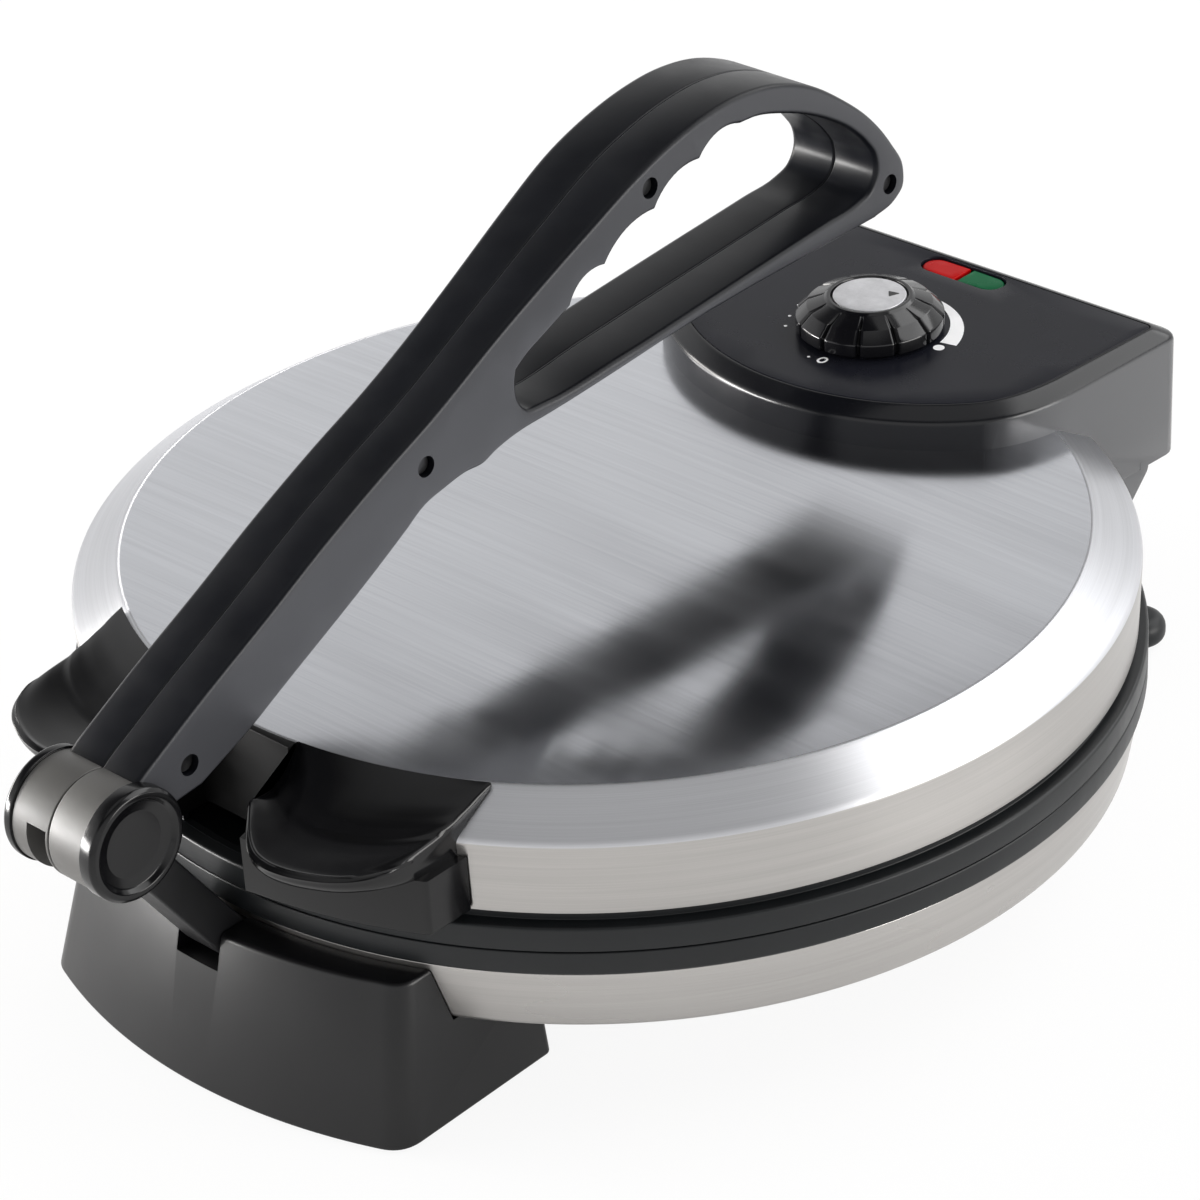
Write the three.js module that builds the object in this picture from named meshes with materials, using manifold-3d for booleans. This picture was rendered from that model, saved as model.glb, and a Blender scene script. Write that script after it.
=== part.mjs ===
// An electric roti maker: two heated plates in steel shells, hinged at the rear and pressed by a long lever.
// Millimetres, +Z up. Heights are above the table, +Y is the rear, and the plates' axis is x = y = 0 while
// the pieces are made. The last lines move the whole part so that its box is centred over the origin.
import * as THREE from "three";
import { mergeVertices } from "three/addons/utils/BufferGeometryUtils.js";
import Module from "manifold-3d";

const wasm = await Module();
wasm.setup();

// Fits and cuts shared by all pieces
const TOUCH_GAP = 0.3;
const PIN_PLAY = 0.3;
const OVERRUN = 4;
const WELD = 0.0001;

// Facets
const DISC_FACETS = 64;
const INNER_FACETS = 40;
const PIN_FACETS = 14;
const BARREL_FACETS = 32;
const CURVE_FACETS = 6;

// Heights above the table, each from the one under it
const PAD_PROUD = 1;
const BASE_FLOOR = 28.3;
const PAN_DEPTH = 19;
const BASE_RING_HEIGHT = 7.4;
const LID_RING_HEIGHT = 7.5;
const GROOVE_HEIGHT = 3;
const BAND_HEIGHT = 21.2;
const BEVEL_RISE = 8.8;
const DOME_RISE = 1.6;
const LIP_RISE = 9.7;
const LIP_BEVEL = 3;
const RING_FOOT = BASE_FLOOR + PAN_DEPTH;
const RING_SPLIT = RING_FOOT + BASE_RING_HEIGHT;
const RING_HEAD = RING_SPLIT + LID_RING_HEIGHT;
const BAND_FOOT = RING_HEAD + GROOVE_HEIGHT;
const SHOULDER = BAND_FOOT + BAND_HEIGHT;
const CROWN_EDGE = SHOULDER + BEVEL_RISE;
const LIP_HEIGHT = CROWN_EDGE + LIP_RISE;
const PANEL_HEIGHT = LIP_HEIGHT + LIP_BEVEL;

// Radii about the plates' axis, each from the ring's
const RING_RADIUS = 152;
const RING_WIDTH = 27;
const SHOULDER_INSET = 2;
const BAND_INSET = 2.75;
const BEVEL_WIDTH = 13.65;
const PAN_INSET = 1;
const PAN_TAPER = 3.2;
const PLATE_RADIUS = RING_RADIUS - RING_WIDTH;
const SHOULDER_RADIUS = RING_RADIUS - SHOULDER_INSET;
const BAND_RADIUS = RING_RADIUS - BAND_INSET;
const CROWN_RADIUS = SHOULDER_RADIUS - BEVEL_WIDTH;
const PAN_RADIUS = RING_RADIUS - PAN_INSET;
const PAN_FLOOR_RADIUS = PAN_RADIUS - PAN_TAPER;

// Sheet steel shells
const SHEET = 1.2;
const FLOOR_WIDTH = 59.8;
const COVER_LAP = 11;
const FLOOR_OPENING_RADIUS = PAN_FLOOR_RADIUS - FLOOR_WIDTH;
const COVER_RADIUS = FLOOR_OPENING_RADIUS + COVER_LAP;
const COVER_THICKNESS = 1.5;
const COVER_SCREW_RADIUS = FLOOR_OPENING_RADIUS + COVER_LAP / 2;
const COVER_SCREWS = 4;
const PAN_SCREW_HEAD_RADIUS = 3.2;
const PAN_SCREW_HEAD = 1.6;
const PAN_SCREW_SHANK_RADIUS = 1.4;
const PAN_SCREW_LENGTH = 7;
const VENT_SLOTS = 6;
const VENT_INSET = 33;
const VENT_RADIUS = FLOOR_OPENING_RADIUS - VENT_INSET;
const VENT_LENGTH = 30;
const VENT_WIDTH = 5;

// Black plastic rings
const PLATE_PLAY = 2.5;
const RING_BORE_RADIUS = PLATE_RADIUS + PLATE_PLAY;
const RING_SKIRT = 2;
const RING_SKIRT_DROP = 4;

// Cast plates and their heaters
const PLATE_FACE_GAP = 0.4;
const PLATE_THICKNESS = 5.5;
const PLATE_FLANGE = 6;
const PLATE_FLANGE_THICKNESS = 3;
const PLATE_RIM_WALL = 7;
const HEATER_INSET = 50;
const HEATER_RADIUS = PLATE_RADIUS - HEATER_INSET;
const HEATER_ROD_RADIUS = 4;
const HEATER_SWEEP = (320 * Math.PI) / 180;
const HEATER_STEPS = 24;
const HEATER_SIDES = 6;

// Front foot
const FOOT_REACH = 20.5;
const FOOT_TOP_REACH = 8.8;
const FOOT_DROP = 1.9;
const FOOT_DEPTH = 50;
const FOOT_RADIUS = RING_RADIUS + FOOT_REACH;
const FOOT_TOP_RADIUS = RING_RADIUS + FOOT_TOP_REACH;
const FOOT_TOP = RING_FOOT - FOOT_DROP;
const FOOT_HALF = 68.5;
const FOOT_TOP_HALF = 61.8;
const FOOT_BACK = FOOT_DEPTH - RING_RADIUS;
const FOOT_WALL = 3.5;
const FOOT_CORNER = 21;
const FOOT_CEILING = 3.6;

// Rear foot and its hinge posts
const REAR_REACH = 19;
const REAR_TOP_REACH = 15;
const REAR_DEPTH = 59;
const REAR_FACE = RING_RADIUS + REAR_REACH;
const REAR_TOP_FACE = RING_RADIUS + REAR_TOP_REACH;
const REAR_HALF = 75;
const REAR_TOP_HALF = 60;
const REAR_CORNER = 5;
const REAR_TOP_CORNER = 22;
const POST_ROOT = 24;
const REAR_FRONT = REAR_FACE - REAR_DEPTH;

// Rubber pads and the cord's gland
const PAD_RADIUS = 7;
const PAD_DEPTH = 3;
const PAD_INSET = 11;
const GLAND_RADIUS = 7;
const GLAND_HOLE_RADIUS = 3.6;
const GLAND_FLANGE_RADIUS = 9;
const GLAND_FLANGE = 2;
const GLAND_PROUD = 3.4;
const GLAND_X = -30;
const GLAND_HEIGHT = 16;
const GLAND_ROOT = 4.5;
const GLAND_BOSS_RADIUS = 11;

// Lid hinge
const HINGE_REACH = 9;
const HINGE_Y = RING_RADIUS + HINGE_REACH;
const HINGE_Z = RING_SPLIT + TOUCH_GAP;
const KNUCKLE_RADIUS = 7;
const HINGE_PIN_RADIUS = 3;
const HINGE_PIN_HALF = 57.5;
const POST_INNER = 46;
const POST_OUTER = 57;
const ARM_INNER = 30;
const ARM_OUTER = 45.4;

// Front grip of the lid
const GRIP_REACH = 11;
const GRIP_LIP_REACH = 26.4;
const GRIP_CREST_STEP = 1.15;
const GRIP_RADIUS = RING_RADIUS + GRIP_REACH;
const GRIP_LIP_RADIUS = RING_RADIUS + GRIP_LIP_REACH;
const GRIP_CREST_RADIUS = CROWN_RADIUS + GRIP_CREST_STEP;
const GRIP_HALF = 72.5;
const EAR_HALF = 70;
const EAR_CORNER = 16;
const EAR_NOSE_RUN = 20;
const EAR_NOSE_DEPTH = 18.5;
const EAR_NOSE_BEND = 2.5;
const CHANNEL_HALF = 17.5;
const CHANNEL_WALL = 1.7;
const CHANNEL_STEP = 0.65;
const CHANNEL_LINER = 2;
const CHANNEL_CUT = -(CROWN_RADIUS + CHANNEL_STEP);
const CHANNEL_BACK = CHANNEL_CUT - TOUCH_GAP - CHANNEL_LINER;
const GRIP_CREST_RISE = 1.9;
const LINER_RISE = 0.4;
const GRIP_SCOOP_RISE = 1.2;
const GRIP_LIP_RISE = 2.4;
const GRIP_LIP_DROP = 2.2;
const GRIP_THROAT_DROP = 7;
const GRIP_CREST = CROWN_EDGE + GRIP_CREST_RISE;
const CHANNEL_LINER_TOP = CROWN_EDGE + LINER_RISE;
const GRIP_SCOOP = SHOULDER + GRIP_SCOOP_RISE;
const GRIP_LIP = SHOULDER + GRIP_LIP_RISE;
const GRIP_LIP_UNDER = SHOULDER - GRIP_LIP_DROP;
const GRIP_THROAT = SHOULDER - GRIP_THROAT_DROP;

// Control housing over the rear of the lid
const HOUSING_OVERLAP = 85;
const HOUSING_FRONT = RING_RADIUS - HOUSING_OVERLAP;
const HOUSING_FRONT_RADIUS = 84;
const HOUSING_ARC = (45 * Math.PI) / 180;
const HOUSING_FRONT_HALF = 70;
const HOUSING_REAR_HALF = 74.5;
const HOUSING_REACH = 19.5;
const HOUSING_REAR = RING_RADIUS + HOUSING_REACH;
const HOUSING_CORNER_RUN = 20;
const HOUSING_FLOOR_RISE = 1.2;
const HOUSING_FLOOR = BAND_FOOT + HOUSING_FLOOR_RISE;
const HOUSING_WALL = 2.5;
const HOUSING_LIP_INSET = 4.6;
const HOUSING_CHEEK_INNER = 63;
const HOUSING_CHEEK_OUTER = 72.3;
const CHEEK_REACH = 7.6;
const CHEEK_DEPTH = 20;
const CHEEK_DROP = 0.4;
const HOUSING_CHEEK_BACK = RING_RADIUS + CHEEK_REACH;
const HOUSING_CHEEK_FRONT = HOUSING_CHEEK_BACK - CHEEK_DEPTH;
const HOUSING_CHEEK_FOOT = RING_SPLIT - CHEEK_DROP;
const HOUSING_BACK_CLEARANCE = 0.6;
const PANEL_INSET = 6;
const PANEL_THICKNESS = 1.6;

// Knob, thermostat and lights
const DIAL_X = 2.5;
const DIAL_INSET = 37;
const DIAL_Y = RING_RADIUS - DIAL_INSET;
const KNOB_RADIUS = 22;
const KNOB_SKIRT = 4.6;
const KNOB_SHOULDER_RADIUS = 19;
const KNOB_SHOULDER = 7.6;
const KNOB_COLLAR_RADIUS = 13;
const KNOB_COLLAR = 9.4;
const KNOB_HEIGHT = 10.6;
const KNOB_NOTCHES = 12;
const KNOB_NOTCH_WIDTH = 1.4;
const KNOB_NOTCH_DEPTH = 1.3;
const KNOB_BORE_DEPTH = 6.5;
const KNOB_CLEARANCE = 0.6;
const CAP_RADIUS = 10.8;
const CAP_THICKNESS = 1;
const SHAFT_RADIUS = 3;
const SHAFT_HOLE_RADIUS = 4.6;
const SHAFT_SEAT_DEPTH = 9;
const THERMOSTAT_RADIUS = 14;
const THERMOSTAT_RISE = 9.8;
const THERMOSTAT_FOOT = RING_HEAD + THERMOSTAT_RISE;
const THERMOSTAT_WINDOW_RADIUS = 16;
const LIGHTS_X = 2.5;
const LIGHTS_REACH = 7.5;
const LIGHTS_Y = RING_RADIUS + LIGHTS_REACH;
const LIGHTS_LENGTH = 30;
const LIGHTS_WIDTH = 10;
const LIGHTS_RECESS = 0.5;
const LENS_DEPTH = 6;
const LAMP_RADIUS = 2.4;
const LAMP_LENGTH = 10;

// Front link between the foot and the lever
const LINK_FOOT_REACH = 4;
const LINK_FOOT_DEPTH = 3.9;
const PIVOT_REACH = 39;
const PIVOT_DROP = 1.8;
const LINK_FOOT_Y = -(RING_RADIUS + LINK_FOOT_REACH);
const LINK_FOOT_Z = FOOT_TOP - LINK_FOOT_DEPTH;
const LEVER_PIVOT_Y = -(RING_RADIUS + PIVOT_REACH);
const LEVER_PIVOT_Z = CROWN_EDGE - PIVOT_DROP;
const LINK_HALF_DEPTH = 5.5;
const LINK_HALF_WIDTH = 7.3;
const LINK_SHOULDER = 16.4;
const LINK_PIN_RADIUS = 2;
const LINK_PIN_HALF = 12;
const NOTCH_HALF = 7.9;
const NOTCH_DROP = 1.1;
const EYE_RADIUS = 8.5;
const TONGUE_LEFT = -7.6;
const TONGUE_RIGHT = -1.6;
const TONGUE_PLAY = 0.6;

// Lever, made as two halves about x = 0
const LEVER_REACH = 306.9;
const LEVER_ROOT_HALF = 13;
const LEVER_GRIP_HALF = 16;
const LEVER_FLARE_START = 131;
const LEVER_FLARE_END = 201;
const LEVER_EDGE = 1.6;
const SEAM_HALF = 0.15;
const BARREL_RADIUS = 15;
const BARREL_HALF = 13.6;
const BARREL_CAP_RADIUS = 15.6;
const BARREL_CAP = 2.6;
const BARREL_CAP_RIM = 3;
const BARREL_CAP_DISH = 1.2;
const BARREL_PIN_RADIUS = 3;
const SLOT_START = (-14 * Math.PI) / 180;
const SLOT_END = (-197 * Math.PI) / 180;
const SCALLOP_RISE = 2.8;
const POCKET_FLOOR = 3;
const BOSS_RADIUS = 5.4;
const LEVER_SCREW_RECESS_RADIUS = 3;
const LEVER_SCREW_RECESS = 4;
const LEVER_SCREW_HEAD_RADIUS = 2.6;
const LEVER_SCREW_HEAD = 1.8;
const LEVER_SCREW_SHANK_RADIUS = 1.3;
const LEVER_SCREW_BITE = 8;

// Lever outline about its pivot, as shares of the lever's reach: along the lever, then up
const LEVER_TOP_shares = [
  [0.02, 0.04],
  [0.09, 0.086],
  [0.172, 0.129],
  [0.317, 0.203],
  [0.483, 0.282],
  [0.58, 0.332],
  [0.66, 0.366],
  [0.725, 0.38],
  [0.773, 0.383],
  [0.819, 0.376],
  [0.865, 0.358],
  [0.913, 0.325],
  [0.95, 0.288],
  [0.977, 0.257],
  [0.995, 0.229],
  [1, 0.209],
  [0.984, 0.197],
  [0.955, 0.191],
];
const LEVER_UNDER_shares = [
  [0.66, 0.185],
  [0.516, 0.171],
  [0.45, 0.163],
  [0.435, 0.157],
  [0.412, 0.158],
  [0.362, 0.149],
  [0.354, 0.143],
  [0.306, 0.117],
  [0.174, 0.05],
  [0.085, 0.004],
  [0.03, -0.015],
];
const LOOP_LOWER_shares = [
  [0.482, 0.2],
  [0.492, 0.189],
  [0.93, 0.217],
  [0.948, 0.224],
  [0.9565, 0.237],
  [0.955, 0.258],
  [0.927, 0.289],
  [0.883, 0.319],
  [0.831, 0.343],
];
const LOOP_CUSP_shares = [
  [0.772, 0.356],
  [0.716, 0.342],
  [0.655, 0.317],
  [0.591, 0.289],
  [0.547, 0.265],
];
const LOOP_END_share = [0.488, 0.2335];
const POCKET_shares = [
  [0.13, 0.045],
  [0.326, 0.142],
  [0.44, 0.177],
  [0.44, 0.247],
  [0.326, 0.195],
  [0.13, 0.095],
];
const LEVER_SCREW_shares = [
  [0.0735, 0.036],
  [0.3655, 0.186],
  [0.649, 0.34],
  [0.976, 0.219],
];
const POCKET_BOSS_share = LEVER_SCREW_shares[1];

// Looks
const looks = {
  brushedSteel: { color: 0xb4b4b8, roughness: 0.35, metalness: 1 },
  blackPlastic: { color: 0x17181b, roughness: 0.45, metalness: 0 },
  glossPlastic: { color: 0x101114, roughness: 0.15, metalness: 0 },
  leverPlastic: { color: 0x232529, roughness: 0.5, metalness: 0 },
  panelPlastic: { color: 0x2a2b31, roughness: 0.4, metalness: 0 },
  coatedPlate: { color: 0x26262a, roughness: 0.55, metalness: 0.3 },
  heaterSteel: { color: 0x6d6a66, roughness: 0.5, metalness: 1 },
  pinSteel: { color: 0x9a9a9d, roughness: 0.3, metalness: 1 },
  capSilver: { color: 0xb9b9bd, roughness: 0.4, metalness: 0.6 },
  redLens: { color: 0xb81f1c, roughness: 0.2, metalness: 0 },
  greenLens: { color: 0x0c7a4a, roughness: 0.2, metalness: 0 },
  lampGlass: { color: 0xd8cfc0, roughness: 0.1, metalness: 0 },
  padRubber: { color: 0x1c1c1c, roughness: 0.8, metalness: 0 },
};

const assembly = new THREE.Group();

// Solids from three.js geometry

// A closed geometry as a solid, turned the right way out.
function toSolid(geometry) {
  const bare = geometry.clone();
  bare.deleteAttribute("normal");
  bare.deleteAttribute("uv");
  const merged = mergeVertices(bare, WELD);
  const triVerts = new Uint32Array(merged.index.array);
  const vertProperties = merged.attributes.position.array;
  const build = () => new wasm.Manifold(new wasm.Mesh({ numProp: 3, vertProperties, triVerts }));
  const made = build();
  if (made.volume() >= 0) {
    return made;
  }
  for (let i = 0; i < triVerts.length; i += 3) {
    [triVerts[i + 1], triVerts[i + 2]] = [triVerts[i + 2], triVerts[i + 1]];
  }
  return build();
}

// A named mesh of a solid in the assembly, with its own material.
function place(name, solid, look) {
  const raw = solid.getMesh();
  const geometry = new THREE.BufferGeometry();
  geometry.setAttribute("position", new THREE.BufferAttribute(new Float32Array(raw.vertProperties), 3));
  geometry.setIndex(new THREE.BufferAttribute(new Uint32Array(raw.triVerts), 1));
  geometry.computeVertexNormals();
  const mesh = new THREE.Mesh(geometry, new THREE.MeshStandardMaterial(looks[look]));
  mesh.name = name;
  assembly.add(mesh);
}

// A profile of [radius, height] points turned about the Z axis.
function turned(points, facets = DISC_FACETS) {
  const profile = points.map(([radius, height]) => new THREE.Vector2(radius, height));
  const geometry = new THREE.LatheGeometry(profile, facets);
  geometry.rotateX(Math.PI / 2);
  return toSolid(geometry);
}

// The same profile turned about the X axis, at a given point of the YZ plane.
function turnedAlongX(points, y, z, facets = BARREL_FACETS) {
  const profile = points.map(([radius, x]) => new THREE.Vector2(radius, x));
  const geometry = new THREE.LatheGeometry(profile, facets);
  geometry.rotateZ(-Math.PI / 2);
  geometry.translate(0, y, z);
  return toSolid(geometry);
}

// A block between two corners.
function block(from, to) {
  const size = to.map((value, i) => value - from[i]);
  const middle = to.map((value, i) => (value + from[i]) / 2);
  const geometry = new THREE.BoxGeometry(...size);
  geometry.translate(...middle);
  return toSolid(geometry);
}

// An upright cylinder.
function upright(radius, x, y, bottom, top, facets = PIN_FACETS) {
  const geometry = new THREE.CylinderGeometry(radius, radius, top - bottom, facets);
  geometry.rotateX(Math.PI / 2);
  geometry.translate(x, y, (top + bottom) / 2);
  return toSolid(geometry);
}

// A cylinder along X.
function crosswise(radius, left, right, y, z, facets = PIN_FACETS) {
  const geometry = new THREE.CylinderGeometry(radius, radius, right - left, facets);
  geometry.rotateZ(Math.PI / 2);
  geometry.translate((left + right) / 2, y, z);
  return toSolid(geometry);
}

// A plan outline raised between two heights.
function raised(shape, bottom, top, curveSegments = CURVE_FACETS) {
  const geometry = new THREE.ExtrudeGeometry(shape, {
    depth: top - bottom,
    bevelEnabled: false,
    curveSegments,
  });
  geometry.translate(0, 0, bottom);
  return toSolid(geometry);
}

// Turns a geometry made in the XY plane so that its outline lies in the YZ plane and its depth along X.
function faceAlongX(geometry) {
  geometry.rotateY(Math.PI / 2);
  geometry.rotateX(Math.PI / 2);
  return geometry;
}

// A side outline of (y, z) points widened between two x values.
function widened(shape, left, right, y = 0, z = 0) {
  const geometry = new THREE.ExtrudeGeometry(shape, {
    depth: right - left,
    bevelEnabled: false,
    curveSegments: CURVE_FACETS,
  });
  faceAlongX(geometry);
  geometry.translate(left, y, z);
  return toSolid(geometry);
}

function polygon(points) {
  return new THREE.Shape(points.map(([u, v]) => new THREE.Vector2(u, v)));
}

// A block whose outline changes evenly from its bottom loop of [x, y] points to its top loop of as many. Both
// loops are convex and run counterclockwise.
function lofted(bottom, top, low, high) {
  const count = low.length;
  const points = [...low.map(([x, y]) => [x, y, bottom]), ...high.map(([x, y]) => [x, y, top])];
  const index = low.flatMap((_, i) => {
    const next = (i + 1) % count;
    const wall = [i, next, count + next, i, count + next, count + i];
    const ends = i > 0 && next > 0 ? [0, next, i, count, count + i, count + next] : [];
    return [...wall, ...ends];
  });
  const geometry = new THREE.BufferGeometry();
  geometry.setAttribute("position", new THREE.Float32BufferAttribute(points.flat(), 3));
  geometry.setIndex(index);
  return toSolid(geometry);
}

// A foot's plan: square corners at its first edge, and rear corners rounded to a radius.
function footPlan(half, front, back, corner) {
  const turn = (x, from) =>
    Array.from({ length: CURVE_FACETS + 1 }, (_, i) => {
      const angle = from + ((i / CURVE_FACETS) * Math.PI) / 2;
      return [x + corner * Math.cos(angle), back - corner + corner * Math.sin(angle)];
    });
  return [[-half, front], [half, front], ...turn(half - corner, 0), ...turn(corner - half, Math.PI / 2)];
}

// Outlines that several pieces share

// Height of the crown at a radius: a shallow dome that meets the bevel's inner edge.
function crownHeight(radius) {
  return CROWN_EDGE + DOME_RISE * (1 - (radius / CROWN_RADIUS) ** 2);
}

// The lid's outer profile from the axis to the foot of the band, moved out by a clearance.
function lidProfile(clearance) {
  const crown = [0, 1 / 3, 2 / 3, 1].map((share) => {
    const radius = CROWN_RADIUS * share;
    return [radius, crownHeight(radius) + clearance];
  });
  return [...crown, [SHOULDER_RADIUS + clearance, SHOULDER + clearance], [BAND_RADIUS + clearance, BAND_FOOT]];
}

// The pan's outer radius at a height.
function panRadius(height) {
  const share = (height - BASE_FLOOR) / (RING_FOOT - BASE_FLOOR);
  return PAN_FLOOR_RADIUS + (PAN_RADIUS - PAN_FLOOR_RADIUS) * share;
}

// What the pan and the ring take up, with a clearance, for cutting the feet.
function panSpace(clearance) {
  const radius = RING_RADIUS + clearance;
  const floor = BASE_FLOOR - clearance;
  return turned([
    [0, floor],
    [panRadius(floor) + clearance, floor],
    [panRadius(RING_FOOT - clearance) + clearance, RING_FOOT - clearance],
    [radius, RING_FOOT - clearance],
    [radius, RING_HEAD],
    [0, RING_HEAD],
  ]);
}

// The housing's plan, drawn in by an inset all round.
function housingPlan(inset) {
  const centre = HOUSING_FRONT + HOUSING_FRONT_RADIUS;
  const radius = HOUSING_FRONT_RADIUS - inset;
  const frontHalf = HOUSING_FRONT_HALF - inset;
  const rearHalf = HOUSING_REAR_HALF - inset;
  const rear = HOUSING_REAR - inset;
  const joinX = radius * Math.sin(HOUSING_ARC);
  const joinY = centre - radius * Math.cos(HOUSING_ARC);
  const cornerY = joinY + (frontHalf - joinX) * Math.tan(HOUSING_ARC);
  const slope = (rearHalf - frontHalf) / (rear - cornerY);
  const sideY = cornerY + HOUSING_CORNER_RUN;
  const sideX = frontHalf + slope * HOUSING_CORNER_RUN;
  const shape = new THREE.Shape();
  shape.moveTo(-joinX, joinY);
  shape.absarc(0, centre, radius, -Math.PI / 2 - HOUSING_ARC, -Math.PI / 2 + HOUSING_ARC, false);
  shape.quadraticCurveTo(frontHalf, cornerY, sideX, sideY);
  shape.lineTo(rearHalf, rear);
  shape.lineTo(-rearHalf, rear);
  shape.lineTo(-sideX, sideY);
  shape.quadraticCurveTo(-frontHalf, cornerY, -joinX, joinY);
  return shape;
}

// A stadium along X: one straight end and one round end, or both round.
function lightPlan(left, right, roundLeft, roundRight, clearance) {
  const half = LIGHTS_WIDTH / 2 - clearance;
  const from = left + clearance;
  const to = right - clearance;
  const shape = new THREE.Shape();
  const leftEnd = roundLeft ? from + half : from;
  const rightEnd = roundRight ? to - half : to;
  shape.moveTo(leftEnd, LIGHTS_Y - half);
  shape.lineTo(rightEnd, LIGHTS_Y - half);
  if (roundRight) {
    shape.absarc(rightEnd, LIGHTS_Y, half, -Math.PI / 2, Math.PI / 2, false);
  } else {
    shape.lineTo(rightEnd, LIGHTS_Y + half);
  }
  shape.lineTo(leftEnd, LIGHTS_Y + half);
  if (roundLeft) {
    shape.absarc(leftEnd, LIGHTS_Y, half, Math.PI / 2, (3 * Math.PI) / 2, false);
  } else {
    shape.lineTo(leftEnd, LIGHTS_Y - half);
  }
  return shape;
}

// Base shell, cover and rings

function lowerShell() {
  const inner = SHEET;
  const top = RING_FOOT;
  const shell = turned([
    [FLOOR_OPENING_RADIUS, BASE_FLOOR],
    [PAN_FLOOR_RADIUS, BASE_FLOOR],
    [PAN_RADIUS, top],
    [PAN_RADIUS - inner, top],
    [PAN_FLOOR_RADIUS - inner, BASE_FLOOR + inner],
    [FLOOR_OPENING_RADIUS, BASE_FLOOR + inner],
    [FLOOR_OPENING_RADIUS, BASE_FLOOR],
  ]);
  return coverScrewPlaces().reduce(
    (solid, [x, y]) =>
      solid.subtract(upright(PAN_SCREW_SHANK_RADIUS + TOUCH_GAP, x, y, BASE_FLOOR - OVERRUN, BASE_FLOOR + OVERRUN)),
    shell,
  );
}

function coverScrewPlaces() {
  return Array.from({ length: COVER_SCREWS }, (_, i) => {
    const angle = ((i + 0.5) / COVER_SCREWS) * 2 * Math.PI;
    return [COVER_SCREW_RADIUS * Math.cos(angle), COVER_SCREW_RADIUS * Math.sin(angle)];
  });
}

function coverTop() {
  return BASE_FLOOR - TOUCH_GAP;
}

function bottomCover() {
  const top = coverTop();
  const bottom = top - COVER_THICKNESS;
  let cover = turned(
    [
      [0, bottom],
      [COVER_RADIUS, bottom],
      [COVER_RADIUS, top],
      [0, top],
    ],
    INNER_FACETS,
  );
  for (let i = 0; i < VENT_SLOTS; i += 1) {
    const slot = new THREE.BoxGeometry(VENT_LENGTH, VENT_WIDTH, COVER_THICKNESS + OVERRUN);
    slot.translate(VENT_RADIUS, 0, (top + bottom) / 2);
    slot.rotateZ((i / VENT_SLOTS) * 2 * Math.PI);
    cover = cover.subtract(toSolid(slot));
  }
  for (const [x, y] of coverScrewPlaces()) {
    cover = cover.subtract(upright(PAN_SCREW_SHANK_RADIUS + TOUCH_GAP, x, y, bottom - OVERRUN, top + OVERRUN));
  }
  return cover;
}

function coverScrew([x, y]) {
  const underside = coverTop() - COVER_THICKNESS - TOUCH_GAP;
  const head = upright(PAN_SCREW_HEAD_RADIUS, x, y, underside - PAN_SCREW_HEAD, underside);
  return head.add(upright(PAN_SCREW_SHANK_RADIUS, x, y, underside - PAN_SCREW_HEAD / 2, underside + PAN_SCREW_LENGTH));
}

function baseRing() {
  const foot = RING_FOOT + TOUCH_GAP;
  const skirt = PAN_RADIUS - SHEET - TOUCH_GAP;
  const skirtFoot = RING_FOOT - RING_SKIRT_DROP;
  const skirtOut = panRadius(skirtFoot) - SHEET - TOUCH_GAP;
  return turned([
    [RING_BORE_RADIUS, foot],
    [skirtOut - RING_SKIRT, foot],
    [skirtOut - RING_SKIRT, skirtFoot],
    [skirtOut, skirtFoot],
    [skirt, foot],
    [RING_RADIUS, foot],
    [RING_RADIUS, RING_SPLIT],
    [RING_BORE_RADIUS, RING_SPLIT],
    [RING_BORE_RADIUS, foot],
  ]);
}

function lidRing() {
  const foot = RING_SPLIT + TOUCH_GAP;
  const skirtOut = BAND_RADIUS - SHEET - TOUCH_GAP;
  const skirtTop = BAND_FOOT + RING_SKIRT_DROP;
  const ring = turned([
    [RING_BORE_RADIUS, foot],
    [RING_RADIUS, foot],
    [RING_RADIUS, RING_HEAD],
    [skirtOut, RING_HEAD],
    [skirtOut, skirtTop],
    [skirtOut - RING_SKIRT, skirtTop],
    [skirtOut - RING_SKIRT, RING_HEAD],
    [RING_BORE_RADIUS, RING_HEAD],
    [RING_BORE_RADIUS, foot],
  ]);
  return ring.subtract(channelSpace(RING_HEAD));
}

// The space cut out of the lid's front for the lever's root, from a height up.
function channelSpace(from) {
  const half = CHANNEL_HALF + CHANNEL_WALL + TOUCH_GAP;
  return block([-half, -RING_RADIUS - OVERRUN, from], [half, CHANNEL_CUT, CROWN_EDGE + OVERRUN]);
}

// Plates and heaters. The lower plate is the upper one turned over about the plane between them.
function plateProfile(face, up) {
  const at = (distance) => face + up * distance;
  const flangeRadius = PLATE_RADIUS + PLATE_FLANGE;
  const seat = up > 0 ? RING_HEAD + TOUCH_GAP : RING_FOOT;
  const back = seat + up * PLATE_FLANGE_THICKNESS;
  return [
    [0, at(0)],
    [PLATE_RADIUS, at(0)],
    [PLATE_RADIUS, seat],
    [flangeRadius, seat],
    [flangeRadius, back],
    [PLATE_RADIUS - PLATE_RIM_WALL, back],
    [PLATE_RADIUS - PLATE_RIM_WALL, at(PLATE_THICKNESS)],
    [0, at(PLATE_THICKNESS)],
  ];
}

function lowerPlateFace() {
  return RING_SPLIT + TOUCH_GAP / 2 - PLATE_FACE_GAP / 2;
}

function upperPlateFace() {
  return lowerPlateFace() + PLATE_FACE_GAP;
}

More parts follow.
